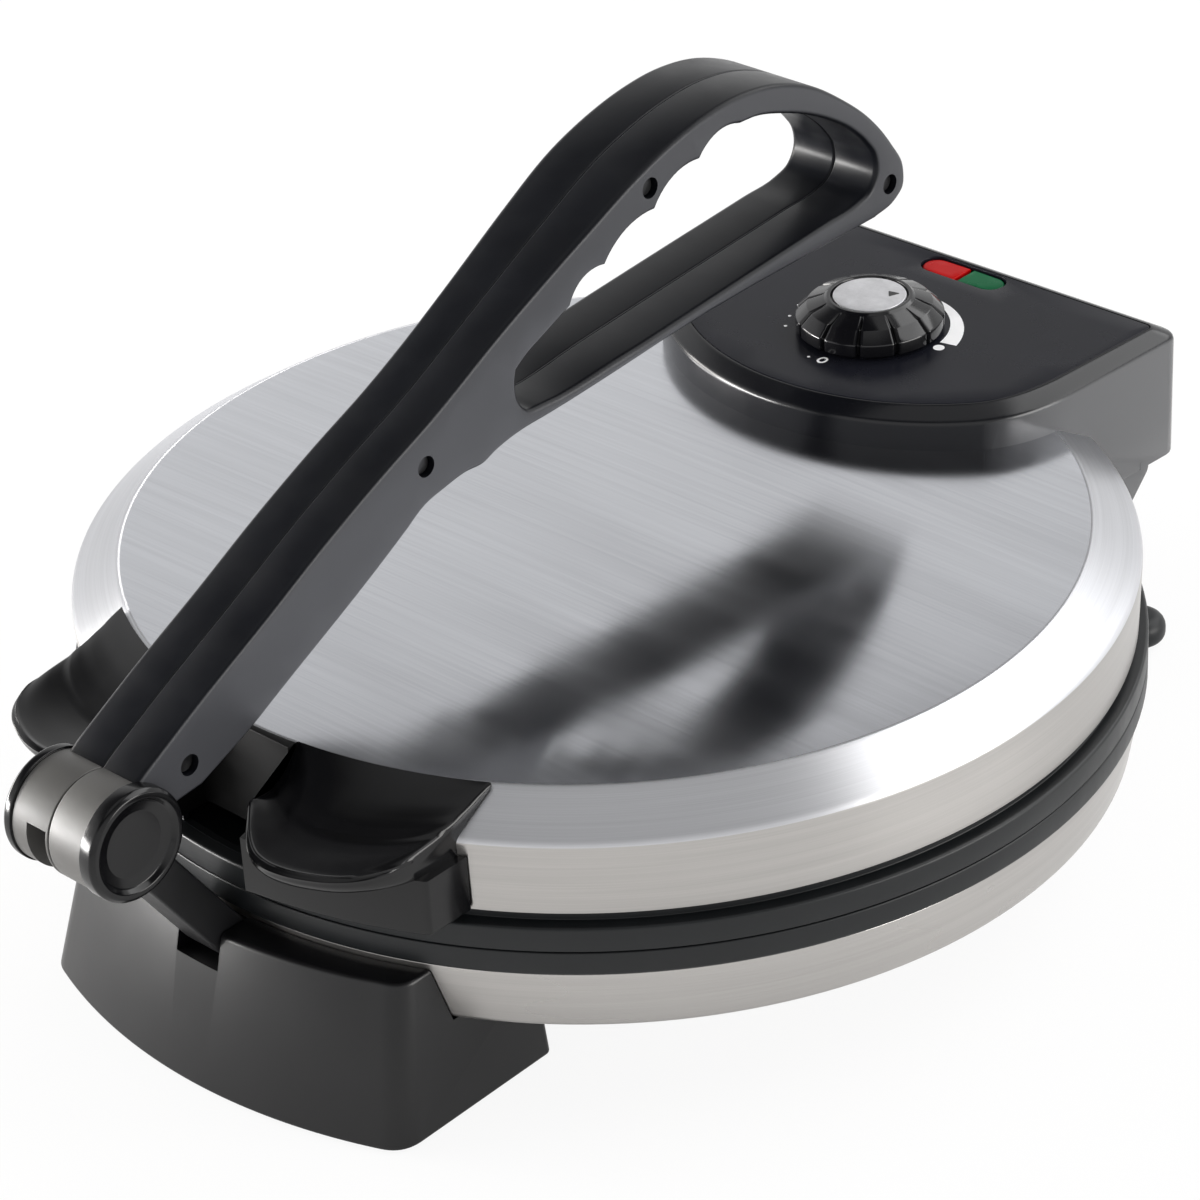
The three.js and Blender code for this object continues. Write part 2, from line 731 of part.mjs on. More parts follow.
function heater(height) {
  const start = Math.PI / 2 + (2 * Math.PI - HEATER_SWEEP) / 2;
  class RodPath extends THREE.Curve {
    getPoint(t, target = new THREE.Vector3()) {
      const angle = start + t * HEATER_SWEEP;
      return target.set(HEATER_RADIUS * Math.cos(angle), HEATER_RADIUS * Math.sin(angle), height);
    }
  }
  const section = polygon(
    Array.from({ length: HEATER_SIDES }, (_, i) => {
      const angle = ((i + 0.5) / HEATER_SIDES) * 2 * Math.PI;
      return [HEATER_ROD_RADIUS * Math.cos(angle), HEATER_ROD_RADIUS * Math.sin(angle)];
    }),
  );
  return toSolid(
    new THREE.ExtrudeGeometry(section, { steps: HEATER_STEPS, extrudePath: new RodPath(), bevelEnabled: false }),
  );
}

// Feet

// Places of the four pads: x and y of each, front pair first.
function padPlaces() {
  const frontX = FOOT_HALF - PAD_INSET;
  const frontY = -Math.sqrt((FOOT_RADIUS - PAD_INSET) ** 2 - frontX ** 2);
  const rearX = REAR_HALF - PAD_INSET;
  const rearY = REAR_FACE - PAD_INSET;
  return {
    rubber_pad_front_left: [-frontX, frontY],
    rubber_pad_front_right: [frontX, frontY],
    rubber_pad_rear_left: [-rearX, rearY],
    rubber_pad_rear_right: [rearX, rearY],
  };
}

function rubberPad([x, y]) {
  return upright(PAD_RADIUS, x, y, 0, PAD_PROUD + PAD_DEPTH - TOUCH_GAP);
}

function withPadPockets(foot) {
  return Object.values(padPlaces()).reduce(
    (solid, [x, y]) =>
      solid.subtract(upright(PAD_RADIUS + TOUCH_GAP, x, y, PAD_PROUD - OVERRUN, PAD_PROUD + PAD_DEPTH)),
    foot,
  );
}

// The foot's curved front at a height.
function footCone(bottom, top, inset) {
  const at = (height) => FOOT_RADIUS - inset + ((FOOT_TOP_RADIUS - FOOT_RADIUS) * height) / FOOT_TOP;
  return turned([
    [0, bottom],
    [at(bottom), bottom],
    [at(top), top],
    [0, top],
  ]);
}

function frontFoot() {
  const front = -FOOT_RADIUS - OVERRUN;
  const plan = (half) => [[-half, front], [half, front], [half, FOOT_BACK], [-half, FOOT_BACK]];
  const sides = lofted(PAD_PROUD, FOOT_TOP, plan(FOOT_HALF), plan(FOOT_TOP_HALF));
  const hollowTop = BASE_FLOOR - TOUCH_GAP - FOOT_CEILING;
  const hollowHalf = FOOT_HALF - FOOT_CORNER;
  const hollowBack = FOOT_BACK - FOOT_WALL;
  const hollow = footCone(PAD_PROUD - OVERRUN, hollowTop, FOOT_WALL).intersect(
    block([-hollowHalf, front, PAD_PROUD - OVERRUN], [hollowHalf, hollowBack, hollowTop]),
  );
  const notch = block(
    [-NOTCH_HALF, front, LINK_FOOT_Z - LINK_HALF_DEPTH - NOTCH_DROP],
    [NOTCH_HALF, FOOT_BACK, FOOT_TOP + OVERRUN],
  );
  const pinBore = crosswise(
    LINK_PIN_RADIUS + PIN_PLAY, -LINK_PIN_HALF - TOUCH_GAP, LINK_PIN_HALF + TOUCH_GAP, LINK_FOOT_Y, LINK_FOOT_Z,
  );
  const foot = footCone(PAD_PROUD, FOOT_TOP, 0).intersect(sides).subtract(panSpace(TOUCH_GAP));
  return withPadPockets(foot.subtract(hollow).subtract(notch).subtract(pinBore));
}

function linkPin() {
  return crosswise(LINK_PIN_RADIUS, -LINK_PIN_HALF, LINK_PIN_HALF, LINK_FOOT_Y, LINK_FOOT_Z);
}

function hingePost(side) {
  const inner = side > 0 ? POST_INNER : -POST_OUTER;
  const outer = side > 0 ? POST_OUTER : -POST_INNER;
  const post = block(
    [inner, HINGE_Y - KNUCKLE_RADIUS, FOOT_TOP - POST_ROOT],
    [outer, HINGE_Y + KNUCKLE_RADIUS, HINGE_Z],
  );
  return post.add(crosswise(KNUCKLE_RADIUS, inner, outer, HINGE_Y, HINGE_Z));
}

function rearFoot() {
  const body = lofted(
    PAD_PROUD,
    FOOT_TOP,
    footPlan(REAR_HALF, REAR_FRONT, REAR_FACE, REAR_CORNER),
    footPlan(REAR_TOP_HALF, REAR_FRONT, REAR_TOP_FACE, REAR_TOP_CORNER),
  );
  const hollowTop = BASE_FLOOR - TOUCH_GAP - FOOT_CEILING;
  const hollowHalf = REAR_HALF - FOOT_CORNER;
  const hollow = block(
    [-hollowHalf, REAR_FRONT + FOOT_WALL, PAD_PROUD - OVERRUN],
    [hollowHalf, REAR_TOP_FACE - FOOT_WALL, hollowTop],
  );
  const bore = crosswise(
    HINGE_PIN_RADIUS + PIN_PLAY, -HINGE_PIN_HALF - OVERRUN, HINGE_PIN_HALF + OVERRUN, HINGE_Y, HINGE_Z,
  );
  const glandHole = glandTurned([
    [0, -OVERRUN * 2],
    [GLAND_RADIUS + TOUCH_GAP, -OVERRUN * 2],
    [GLAND_RADIUS + TOUCH_GAP, OVERRUN * 2],
    [0, OVERRUN * 2],
  ]);
  const flat = glandTurned([
    [0, 0],
    [GLAND_BOSS_RADIUS, 0],
    [GLAND_BOSS_RADIUS, OVERRUN * 2],
    [0, OVERRUN * 2],
  ]);
  const foot = body
    .add(hingePost(-1))
    .add(hingePost(1))
    .subtract(panSpace(TOUCH_GAP))
    .subtract(hollow)
    .subtract(bore)
    .subtract(flat)
    .subtract(glandHole);
  return withPadPockets(foot);
}

function hingePin() {
  return crosswise(HINGE_PIN_RADIUS, -HINGE_PIN_HALF, HINGE_PIN_HALF, HINGE_Y, HINGE_Z);
}

// The rear foot's flat seat for the gland, and a profile turned about the gland's axis from that seat.
function glandSeat() {
  const lean = (REAR_FACE - REAR_TOP_FACE) / (FOOT_TOP - PAD_PROUD);
  return REAR_FACE - lean * (GLAND_HEIGHT + GLAND_BOSS_RADIUS - PAD_PROUD);
}

function glandTurned(points) {
  const profile = points.map(([radius, out]) => new THREE.Vector2(radius, out));
  const geometry = new THREE.LatheGeometry(profile, PIN_FACETS);
  geometry.translate(0, glandSeat(), 0);
  geometry.translate(GLAND_X, 0, GLAND_HEIGHT);
  return toSolid(geometry);
}

function cordGland() {
  const inside = -GLAND_ROOT;
  return glandTurned([
    [GLAND_HOLE_RADIUS, inside],
    [GLAND_RADIUS, inside],
    [GLAND_RADIUS, TOUCH_GAP],
    [GLAND_FLANGE_RADIUS, TOUCH_GAP],
    [GLAND_FLANGE_RADIUS, GLAND_FLANGE],
    [GLAND_RADIUS, GLAND_PROUD],
    [GLAND_HOLE_RADIUS, GLAND_PROUD],
    [GLAND_HOLE_RADIUS, inside],
  ]);
}

// Lid shell and its front grip

function upperShell() {
  const outer = lidProfile(0);
  const inner = lidProfile(0)
    .reverse()
    .map(([radius, height]) => [Math.max(radius - SHEET, 0), height - (height > BAND_FOOT ? SHEET : 0)]);
  const shell = turned([...outer, ...inner]);
  const window = upright(
    THERMOSTAT_WINDOW_RADIUS, DIAL_X, DIAL_Y, CROWN_EDGE - OVERRUN, CROWN_EDGE + DOME_RISE + OVERRUN, INNER_FACETS / 2,
  );
  return shell.subtract(channelSpace(BAND_FOOT - OVERRUN)).subtract(window);
}

// The grip's profile: a hollowed shelf that dips behind its lip, over a block that stands on the band.
function gripProfile() {
  const bandRadius = SHOULDER_RADIUS + TOUCH_GAP;
  const span = GRIP_LIP_RADIUS - GRIP_CREST_RADIUS;
  const at = (share) => GRIP_CREST_RADIUS + span * share;
  const dip = (share) => GRIP_CREST + (GRIP_SCOOP - GRIP_CREST) * share;
  const crestUnder = SHOULDER + ((CROWN_EDGE - SHOULDER) * (SHOULDER_RADIUS - GRIP_CREST_RADIUS)) /
    (SHOULDER_RADIUS - CROWN_RADIUS);
  return [
    [GRIP_CREST_RADIUS, GRIP_CREST],
    [at(0.2), dip(0.45)],
    [at(0.42), dip(0.82)],
    [at(0.68), dip(1)],
    [at(0.9), dip(0.98)],
    [GRIP_LIP_RADIUS, GRIP_LIP],
    [at(0.96), GRIP_LIP_UNDER],
    [at(0.8), (GRIP_LIP_UNDER + GRIP_THROAT) / 2],
    [GRIP_RADIUS, GRIP_THROAT],
    [GRIP_RADIUS, BAND_FOOT],
    [bandRadius, BAND_FOOT],
    [bandRadius, SHOULDER + TOUCH_GAP],
    [GRIP_CREST_RADIUS, crestUnder + TOUCH_GAP],
    [GRIP_CREST_RADIUS, GRIP_CREST],
  ];
}

// The ears' plan: parallel sides, rounded front corners and rounded noses beside the channel.
function earPlan() {
  const cornerY = -Math.sqrt((GRIP_LIP_RADIUS - EAR_CORNER) ** 2 - (EAR_HALF - EAR_CORNER) ** 2);
  const far = -GRIP_LIP_RADIUS - OVERRUN;
  const noseX = CHANNEL_HALF + EAR_NOSE_RUN;
  const bendX = CHANNEL_HALF + EAR_NOSE_BEND;
  const noseFront = -Math.sqrt(GRIP_LIP_RADIUS ** 2 - noseX ** 2);
  const noseBack = noseFront + EAR_NOSE_DEPTH;
  const shape = new THREE.Shape();
  shape.moveTo(-EAR_HALF, 0);
  shape.lineTo(-EAR_HALF, cornerY);
  shape.absarc(-EAR_HALF + EAR_CORNER, cornerY, EAR_CORNER, Math.PI, (4 * Math.PI) / 3, false);
  shape.lineTo(-EAR_HALF + EAR_CORNER, far);
  shape.lineTo(-noseX, far);
  shape.lineTo(-noseX, noseFront);
  shape.quadraticCurveTo(-bendX, noseFront, -CHANNEL_HALF, noseBack);
  shape.lineTo(CHANNEL_HALF, noseBack);
  shape.quadraticCurveTo(bendX, noseFront, noseX, noseFront);
  shape.lineTo(noseX, far);
  shape.lineTo(EAR_HALF - EAR_CORNER, far);
  shape.absarc(EAR_HALF - EAR_CORNER, cornerY, EAR_CORNER, (5 * Math.PI) / 3, 2 * Math.PI, false);
  shape.lineTo(EAR_HALF, 0);
  return shape;
}

function frontGrip() {
  const full = turned(gripProfile());
  const ears = full.intersect(raised(earPlan(), GRIP_THROAT, GRIP_CREST + OVERRUN));
  const foot = full.intersect(
    block([-GRIP_HALF, -GRIP_RADIUS - OVERRUN, BAND_FOOT - OVERRUN], [GRIP_HALF, 0, GRIP_THROAT]),
  );
  const channel = block(
    [-CHANNEL_HALF, -GRIP_LIP_RADIUS - OVERRUN, BAND_FOOT - OVERRUN],
    [CHANNEL_HALF, CHANNEL_BACK, GRIP_CREST + OVERRUN],
  );
  const wallHalf = CHANNEL_HALF + CHANNEL_WALL;
  const lining = block(
    [-wallHalf, -SHOULDER_RADIUS - TOUCH_GAP - CHANNEL_WALL, BAND_FOOT],
    [wallHalf, CHANNEL_CUT - TOUCH_GAP, SHOULDER],
  ).add(
    block([-wallHalf, CHANNEL_BACK, BAND_FOOT], [wallHalf, CHANNEL_CUT - TOUCH_GAP, CHANNEL_LINER_TOP]),
  );
  return ears.add(foot).add(lining).subtract(channel);
}

// Control housing, panel, lights

function housingShell() {
  const shape = housingPlan(0);
  const geometry = new THREE.ExtrudeGeometry(shape, {
    depth: LIP_HEIGHT - HOUSING_FLOOR,
    bevelEnabled: true,
    bevelThickness: LIP_BEVEL,
    bevelSize: HOUSING_LIP_INSET,
    bevelOffset: -HOUSING_LIP_INSET,
    bevelSegments: 2,
    curveSegments: CURVE_FACETS,
  });
  geometry.translate(0, 0, HOUSING_FLOOR);
  const wide = HOUSING_REAR_HALF + OVERRUN;
  const below = block(
    [-wide, HOUSING_FRONT - OVERRUN, HOUSING_FLOOR - LIP_BEVEL - OVERRUN],
    [wide, HOUSING_REAR + OVERRUN, HOUSING_FLOOR],
  );
  return toSolid(geometry).subtract(below);
}

function lidSpace(clearance) {
  const profile = lidProfile(clearance);
  const foot = BAND_FOOT - OVERRUN;
  const ring = RING_RADIUS + clearance + HOUSING_BACK_CLEARANCE;
  const last = profile.length - 1;
  const edge = profile[last][0];
  return turned([
    ...profile,
    [edge, RING_HEAD + clearance],
    [ring, RING_HEAD + clearance],
    [ring, foot - OVERRUN * 4],
    [0, foot - OVERRUN * 4],
  ]);
}

function hingeArm(side) {
  const inner = side > 0 ? ARM_INNER : -ARM_OUTER;
  const outer = side > 0 ? ARM_OUTER : -ARM_INNER;
  const arm = block(
    [inner, HINGE_Y - KNUCKLE_RADIUS, HINGE_Z],
    [outer, HINGE_Y + KNUCKLE_RADIUS, HOUSING_FLOOR + HOUSING_WALL],
  );
  return arm.add(crosswise(KNUCKLE_RADIUS, inner, outer, HINGE_Y, HINGE_Z));
}

function housingCheek(side) {
  const inner = side > 0 ? HOUSING_CHEEK_INNER : -HOUSING_CHEEK_OUTER;
  const outer = side > 0 ? HOUSING_CHEEK_OUTER : -HOUSING_CHEEK_INNER;
  const outline = polygon([
    [HOUSING_CHEEK_FRONT, HOUSING_CHEEK_FOOT],
    [(HOUSING_CHEEK_FRONT + HOUSING_CHEEK_BACK) / 2, HOUSING_CHEEK_FOOT],
    [HOUSING_CHEEK_BACK, HOUSING_FLOOR - HOUSING_WALL],
    [HOUSING_CHEEK_BACK, HOUSING_FLOOR + HOUSING_WALL],
    [HOUSING_CHEEK_FRONT, HOUSING_FLOOR + HOUSING_WALL],
  ]);
  return widened(outline, inner, outer);
}

function controlHousing() {
  const ceiling = PANEL_HEIGHT - PANEL_THICKNESS - TOUCH_GAP - HOUSING_WALL;
  const hollow = raised(housingPlan(HOUSING_WALL), HOUSING_FLOOR + HOUSING_WALL, ceiling);
  const pocket = raised(housingPlan(PANEL_INSET), PANEL_HEIGHT - PANEL_THICKNESS - TOUCH_GAP, PANEL_HEIGHT + OVERRUN);
  const bore = crosswise(
    HINGE_PIN_RADIUS + PIN_PLAY, -HINGE_PIN_HALF - OVERRUN, HINGE_PIN_HALF + OVERRUN, HINGE_Y, HINGE_Z,
  );
  return housingShell()
    .add(hingeArm(-1))
    .add(hingeArm(1))
    .add(housingCheek(-1))
    .add(housingCheek(1))
    .subtract(hollow)
    .subtract(pocket)
    .subtract(lidSpace(TOUCH_GAP))
    .subtract(bore)
    .subtract(shaftHole())
    .subtract(lightSlot());
}

function shaftHole() {
  return upright(SHAFT_HOLE_RADIUS, DIAL_X, DIAL_Y, CROWN_EDGE, PANEL_HEIGHT + OVERRUN);
}

function lightSlot() {
  const left = LIGHTS_X - LIGHTS_LENGTH / 2;
  const right = LIGHTS_X + LIGHTS_LENGTH / 2;
  return raised(lightPlan(left, right, true, true, 0), CROWN_EDGE, PANEL_HEIGHT + OVERRUN);
}

function controlPanel() {
  const plan = housingPlan(PANEL_INSET + TOUCH_GAP);
  return raised(plan, PANEL_HEIGHT - PANEL_THICKNESS, PANEL_HEIGHT).subtract(shaftHole()).subtract(lightSlot());
}

function lens(side) {
  const left = side < 0 ? LIGHTS_X - LIGHTS_LENGTH / 2 : LIGHTS_X;
  const right = side < 0 ? LIGHTS_X : LIGHTS_X + LIGHTS_LENGTH / 2;
  const top = PANEL_HEIGHT - LIGHTS_RECESS;
  return raised(lightPlan(left, right, side < 0, side > 0, TOUCH_GAP), top - LENS_DEPTH, top);
}

function lamp(side) {
  const top = PANEL_HEIGHT - LIGHTS_RECESS - LENS_DEPTH - TOUCH_GAP;
  const middle = LIGHTS_X + (side * LIGHTS_LENGTH) / 4;
  const z = top - LAMP_RADIUS;
  return crosswise(LAMP_RADIUS, middle - LAMP_LENGTH / 2, middle + LAMP_LENGTH / 2, LIGHTS_Y, z);
}

// Thermostat, its shaft, the knob and its cap

function thermostatTop() {
  return PANEL_HEIGHT - PANEL_THICKNESS - TOUCH_GAP - HOUSING_WALL - TOUCH_GAP;
}

function thermostat() {
  const top = thermostatTop();
  const body = upright(THERMOSTAT_RADIUS, DIAL_X, DIAL_Y, THERMOSTAT_FOOT, top, INNER_FACETS / 2);
  return body.subtract(upright(SHAFT_RADIUS + PIN_PLAY, DIAL_X, DIAL_Y, top - SHAFT_SEAT_DEPTH, top + OVERRUN));
}

function knobFloor() {
  return PANEL_HEIGHT + KNOB_CLEARANCE;
}

function controlShaft() {
  const bottom = thermostatTop() - SHAFT_SEAT_DEPTH + TOUCH_GAP;
  return upright(SHAFT_RADIUS, DIAL_X, DIAL_Y, bottom, knobFloor() + KNOB_BORE_DEPTH - TOUCH_GAP);
}

function knob() {
  const floor = knobFloor();
  const pocket = KNOB_HEIGHT - CAP_THICKNESS - TOUCH_GAP;
  let body = turned(
    [
      [0, 0],
      [KNOB_RADIUS, 0],
      [KNOB_RADIUS, KNOB_SKIRT],
      [KNOB_SHOULDER_RADIUS, KNOB_SHOULDER],
      [KNOB_COLLAR_RADIUS, KNOB_COLLAR],
      [KNOB_COLLAR_RADIUS, KNOB_HEIGHT],
      [CAP_RADIUS + TOUCH_GAP, KNOB_HEIGHT],
      [CAP_RADIUS + TOUCH_GAP, pocket],
      [0, pocket],
    ],
    INNER_FACETS,
  );
  for (let i = 0; i < KNOB_NOTCHES; i += 1) {
    const notch = new THREE.BoxGeometry(KNOB_NOTCH_DEPTH * 2, KNOB_NOTCH_WIDTH, KNOB_SHOULDER * 2);
    notch.translate(KNOB_RADIUS, 0, 0);
    notch.rotateZ(((i + 0.5) / KNOB_NOTCHES) * 2 * Math.PI);
    body = body.subtract(toSolid(notch));
  }
  body = body.subtract(upright(SHAFT_RADIUS + TOUCH_GAP, 0, 0, -OVERRUN, KNOB_BORE_DEPTH));
  return body.translate([DIAL_X, DIAL_Y, floor]);
}

function knobCap() {
  const top = knobFloor() + KNOB_HEIGHT;
  return upright(CAP_RADIUS, DIAL_X, DIAL_Y, top - CAP_THICKNESS, top, INNER_FACETS / 2);
}

// Link from the foot's pin to the lever's pin: a wide shank, then a tongue that enters the lever's barrel

function linkFrame() {
  const along = new THREE.Vector2(LEVER_PIVOT_Y - LINK_FOOT_Y, LEVER_PIVOT_Z - LINK_FOOT_Z);
  const length = along.length();
  along.normalize();
  const across = new THREE.Vector2(along.y, -along.x);
  const at = (distance, aside) => [
    LINK_FOOT_Y + along.x * distance + across.x * aside,
    LINK_FOOT_Z + along.y * distance + across.y * aside,
  ];
  return { length, at };
}

function frontLink() {
  const { length, at } = linkFrame();
  const shoulder = length - LINK_SHOULDER;
  const strip = (from, to) =>
    polygon([
      at(from, -LINK_HALF_DEPTH),
      at(to, -LINK_HALF_DEPTH),
      at(to, LINK_HALF_DEPTH),
      at(from, LINK_HALF_DEPTH),
    ]);
  const shank = widened(strip(0, shoulder), -LINK_HALF_WIDTH, LINK_HALF_WIDTH);
  const toe = crosswise(LINK_HALF_DEPTH, -LINK_HALF_WIDTH, LINK_HALF_WIDTH, LINK_FOOT_Y, LINK_FOOT_Z);
  const tongue = widened(strip(shoulder - LINK_HALF_DEPTH, length), TONGUE_LEFT, TONGUE_RIGHT);
  const eye = crosswise(EYE_RADIUS, TONGUE_LEFT, TONGUE_RIGHT, LEVER_PIVOT_Y, LEVER_PIVOT_Z);
  const footBore = crosswise(
    LINK_PIN_RADIUS + PIN_PLAY, -LINK_HALF_WIDTH - OVERRUN, LINK_HALF_WIDTH + OVERRUN, LINK_FOOT_Y, LINK_FOOT_Z,
  );
  const eyeBore = crosswise(
    BARREL_PIN_RADIUS + PIN_PLAY, TONGUE_LEFT - OVERRUN, TONGUE_RIGHT + OVERRUN, LEVER_PIVOT_Y, LEVER_PIVOT_Z,
  );
  return shank.add(toe).add(tongue).add(eye).subtract(footBore).subtract(eyeBore);
}

function leverPin() {
  return crosswise(BARREL_PIN_RADIUS, -BARREL_HALF, BARREL_HALF, LEVER_PIVOT_Y, LEVER_PIVOT_Z);
}

// Lever halves

function leverPoint([along, up]) {
  return new THREE.Vector2(along * LEVER_REACH, up * LEVER_REACH);
}

// Points along an arc from one point to another that bulges by a rise to its left, without the last point.
function bulge(from, to, rise) {
  const side = new THREE.Vector2(to.y - from.y, from.x - to.x).normalize();
  return [0, 0.25, 0.5, 0.75].map((share) => {
    const lift = 4 * share * (1 - share) * rise;
    return from.clone().lerp(to, share).addScaledVector(side, lift);
  });
}

function leverOutline() {
  const top = LEVER_TOP_shares.map(leverPoint);
  const under = LEVER_UNDER_shares.map(leverPoint);
  const shape = new THREE.Shape([...top, ...under]);
  const cusps = LOOP_CUSP_shares.map(leverPoint);
  const loop = LOOP_LOWER_shares.map(leverPoint);
  for (let i = 0; i + 1 < cusps.length; i += 1) {
    loop.push(...bulge(cusps[i], cusps[i + 1], SCALLOP_RISE));
  }
  loop.push(cusps[cusps.length - 1], leverPoint(LOOP_END_share));
  shape.holes.push(new THREE.Path(loop));
  return shape;
}

// Half width of the lever at a distance along it.
function leverHalf(along) {
  const share = THREE.MathUtils.clamp((along - LEVER_FLARE_START) / (LEVER_FLARE_END - LEVER_FLARE_START), 0, 1);
  return THREE.MathUtils.lerp(LEVER_ROOT_HALF, LEVER_GRIP_HALF, share);
}

function sided(side, near, far) {
  return side > 0 ? [near, far] : [-far, -near];
}

function leverArm(side) {
  const geometry = new THREE.ExtrudeGeometry(leverOutline(), {
    depth: LEVER_ROOT_HALF - LEVER_EDGE,
    bevelEnabled: true,
    bevelThickness: LEVER_EDGE,
    bevelSize: LEVER_EDGE,
    bevelOffset: -LEVER_EDGE,
    bevelSegments: 2,
  });
  faceAlongX(geometry);
  const position = geometry.getAttribute("position");
  for (let i = 0; i < position.count; i += 1) {
    const x = position.getX(i);
    position.setX(i, (side * x * leverHalf(position.getY(i))) / LEVER_ROOT_HALF);
  }
  geometry.translate(0, LEVER_PIVOT_Y, LEVER_PIVOT_Z);
  return toSolid(geometry);
}

function barrelBody(side) {
  const [left, right] = sided(side, 0, BARREL_HALF);
  return crosswise(BARREL_RADIUS, left, right, LEVER_PIVOT_Y, LEVER_PIVOT_Z, BARREL_FACETS);
}

// The part of the barrel that the link's tongue sweeps: a fan from where it lies at rest to where it stops.
function tongueSpace() {
  const far = BARREL_RADIUS * 2;
  const steps = CURVE_FACETS * 2;
  const fan = [[0, 0]];
  for (let i = 0; i <= steps; i += 1) {
    const angle = SLOT_START + ((SLOT_END - SLOT_START) * i) / steps;
    fan.push([far * Math.cos(angle), far * Math.sin(angle)]);
  }
  const left = TONGUE_LEFT - TONGUE_PLAY;
  const right = TONGUE_RIGHT + TONGUE_PLAY;
  const sweep = widened(polygon(fan), left, right, LEVER_PIVOT_Y, LEVER_PIVOT_Z);
  return sweep.add(crosswise(EYE_RADIUS + TONGUE_PLAY, left, right, LEVER_PIVOT_Y, LEVER_PIVOT_Z, BARREL_FACETS));
}

function leverScrewPlace(share) {
  const point = leverPoint(share);
  return { y: LEVER_PIVOT_Y + point.x, z: LEVER_PIVOT_Z + point.y, half: leverHalf(point.x) };
}

function leverPocket(side) {
  const outline = new THREE.Shape(POCKET_shares.map(leverPoint));
  const [left, right] = sided(side, -OVERRUN, LEVER_ROOT_HALF - POCKET_FLOOR);
  const boss = leverScrewPlace(POCKET_BOSS_share);
  return widened(outline, left, right, LEVER_PIVOT_Y, LEVER_PIVOT_Z).subtract(
    crosswise(BOSS_RADIUS, -LEVER_ROOT_HALF, LEVER_ROOT_HALF, boss.y, boss.z),
  );
}

function leverHalfSolid(side) {
  const wide = LEVER_GRIP_HALF + OVERRUN;
  const [left, right] = sided(side, -wide, SEAM_HALF);
  const beyond = block(
    [left, LEVER_PIVOT_Y - BARREL_RADIUS * 2, 0],
    [right, LEVER_PIVOT_Y + LEVER_REACH + OVERRUN, LEVER_PIVOT_Z + LEVER_REACH],
  );
  let half = leverArm(side).add(barrelBody(side)).subtract(leverPocket(side));
  half = half.subtract(tongueSpace());
  half = half.subtract(
    crosswise(
      BARREL_PIN_RADIUS + PIN_PLAY, -BARREL_HALF - OVERRUN, BARREL_HALF + OVERRUN, LEVER_PIVOT_Y, LEVER_PIVOT_Z,
    ),
  );
  LEVER_SCREW_shares.forEach((share) => {
    half = half.subtract(leverScrewBore(share));
  });
  return half.subtract(beyond);
}

function leverScrewBore(share) {
  const { y, z, half } = leverScrewPlace(share);
  const recess = crosswise(LEVER_SCREW_RECESS_RADIUS, half - LEVER_SCREW_RECESS, half + OVERRUN, y, z);
  const bore = crosswise(
    LEVER_SCREW_SHANK_RADIUS + TOUCH_GAP, -LEVER_SCREW_BITE - TOUCH_GAP, half, y, z, PIN_FACETS / 2,
  );
  return recess.add(bore);
}

function leverScrew(share) {
  const { y, z, half } = leverScrewPlace(share);
  const seat = half - LEVER_SCREW_RECESS + TOUCH_GAP;
  const head = crosswise(LEVER_SCREW_HEAD_RADIUS, seat, seat + LEVER_SCREW_HEAD, y, z);
  return head.add(
    crosswise(LEVER_SCREW_SHANK_RADIUS, -LEVER_SCREW_BITE, seat + LEVER_SCREW_HEAD / 2, y, z, PIN_FACETS / 2),
  );
}

function barrelCap(side) {
  const near = BARREL_HALF + TOUCH_GAP;
  const far = near + BARREL_CAP;
  const profile = [
    [0, near],
    [BARREL_CAP_RADIUS - BARREL_CAP_RIM / 3, near],
    [BARREL_CAP_RADIUS, near + BARREL_CAP / 3],
    [BARREL_CAP_RADIUS - BARREL_CAP_RIM / 3, far],
    [BARREL_CAP_RADIUS - BARREL_CAP_RIM, far],
    [0, far - BARREL_CAP_DISH],
  ];
  const placed = profile.map(([radius, x]) => [radius, side * x]);
  return turnedAlongX(placed, LEVER_PIVOT_Y, LEVER_PIVOT_Z);
}

// Base
place("lower_shell", lowerShell(), "brushedSteel");
place("bottom_cover", bottomCover(), "heaterSteel");
coverScrewPlaces().forEach((at, i) => place(`cover_screw_${i + 1}`, coverScrew(at), "pinSteel"));
place("base_ring", baseRing(), "blackPlastic");
place("lower_plate", turned(plateProfile(lowerPlateFace(), -1), INNER_FACETS), "coatedPlate");
const heaterOffset = PLATE_THICKNESS + TOUCH_GAP + HEATER_ROD_RADIUS;
place("lower_heater", heater(lowerPlateFace() - heaterOffset), "heaterSteel");
place("front_foot", frontFoot(), "glossPlastic");
place("rear_foot", rearFoot(), "blackPlastic");
for (const [name, at] of Object.entries(padPlaces())) {
  place(name, rubberPad(at), "padRubber");
}
place("link_pin", linkPin(), "pinSteel");
place("hinge_pin", hingePin(), "pinSteel");
place("cord_gland", cordGland(), "padRubber");

// Lid
place("upper_shell", upperShell(), "brushedSteel");
place("lid_ring", lidRing(), "blackPlastic");
place("upper_plate", turned(plateProfile(upperPlateFace(), 1), INNER_FACETS), "coatedPlate");
place("upper_heater", heater(upperPlateFace() + heaterOffset), "heaterSteel");
place("front_grip", frontGrip(), "glossPlastic");
place("control_housing", controlHousing(), "blackPlastic");
place("control_panel", controlPanel(), "panelPlastic");
place("thermostat", thermostat(), "heaterSteel");
place("power_lens", lens(-1), "redLens");
place("ready_lens", lens(1), "greenLens");
place("power_lamp", lamp(-1), "lampGlass");
place("ready_lamp", lamp(1), "lampGlass");

// Knob
place("control_shaft", controlShaft(), "pinSteel");
place("control_knob", knob(), "glossPlastic");
place("knob_cap", knobCap(), "capSilver");

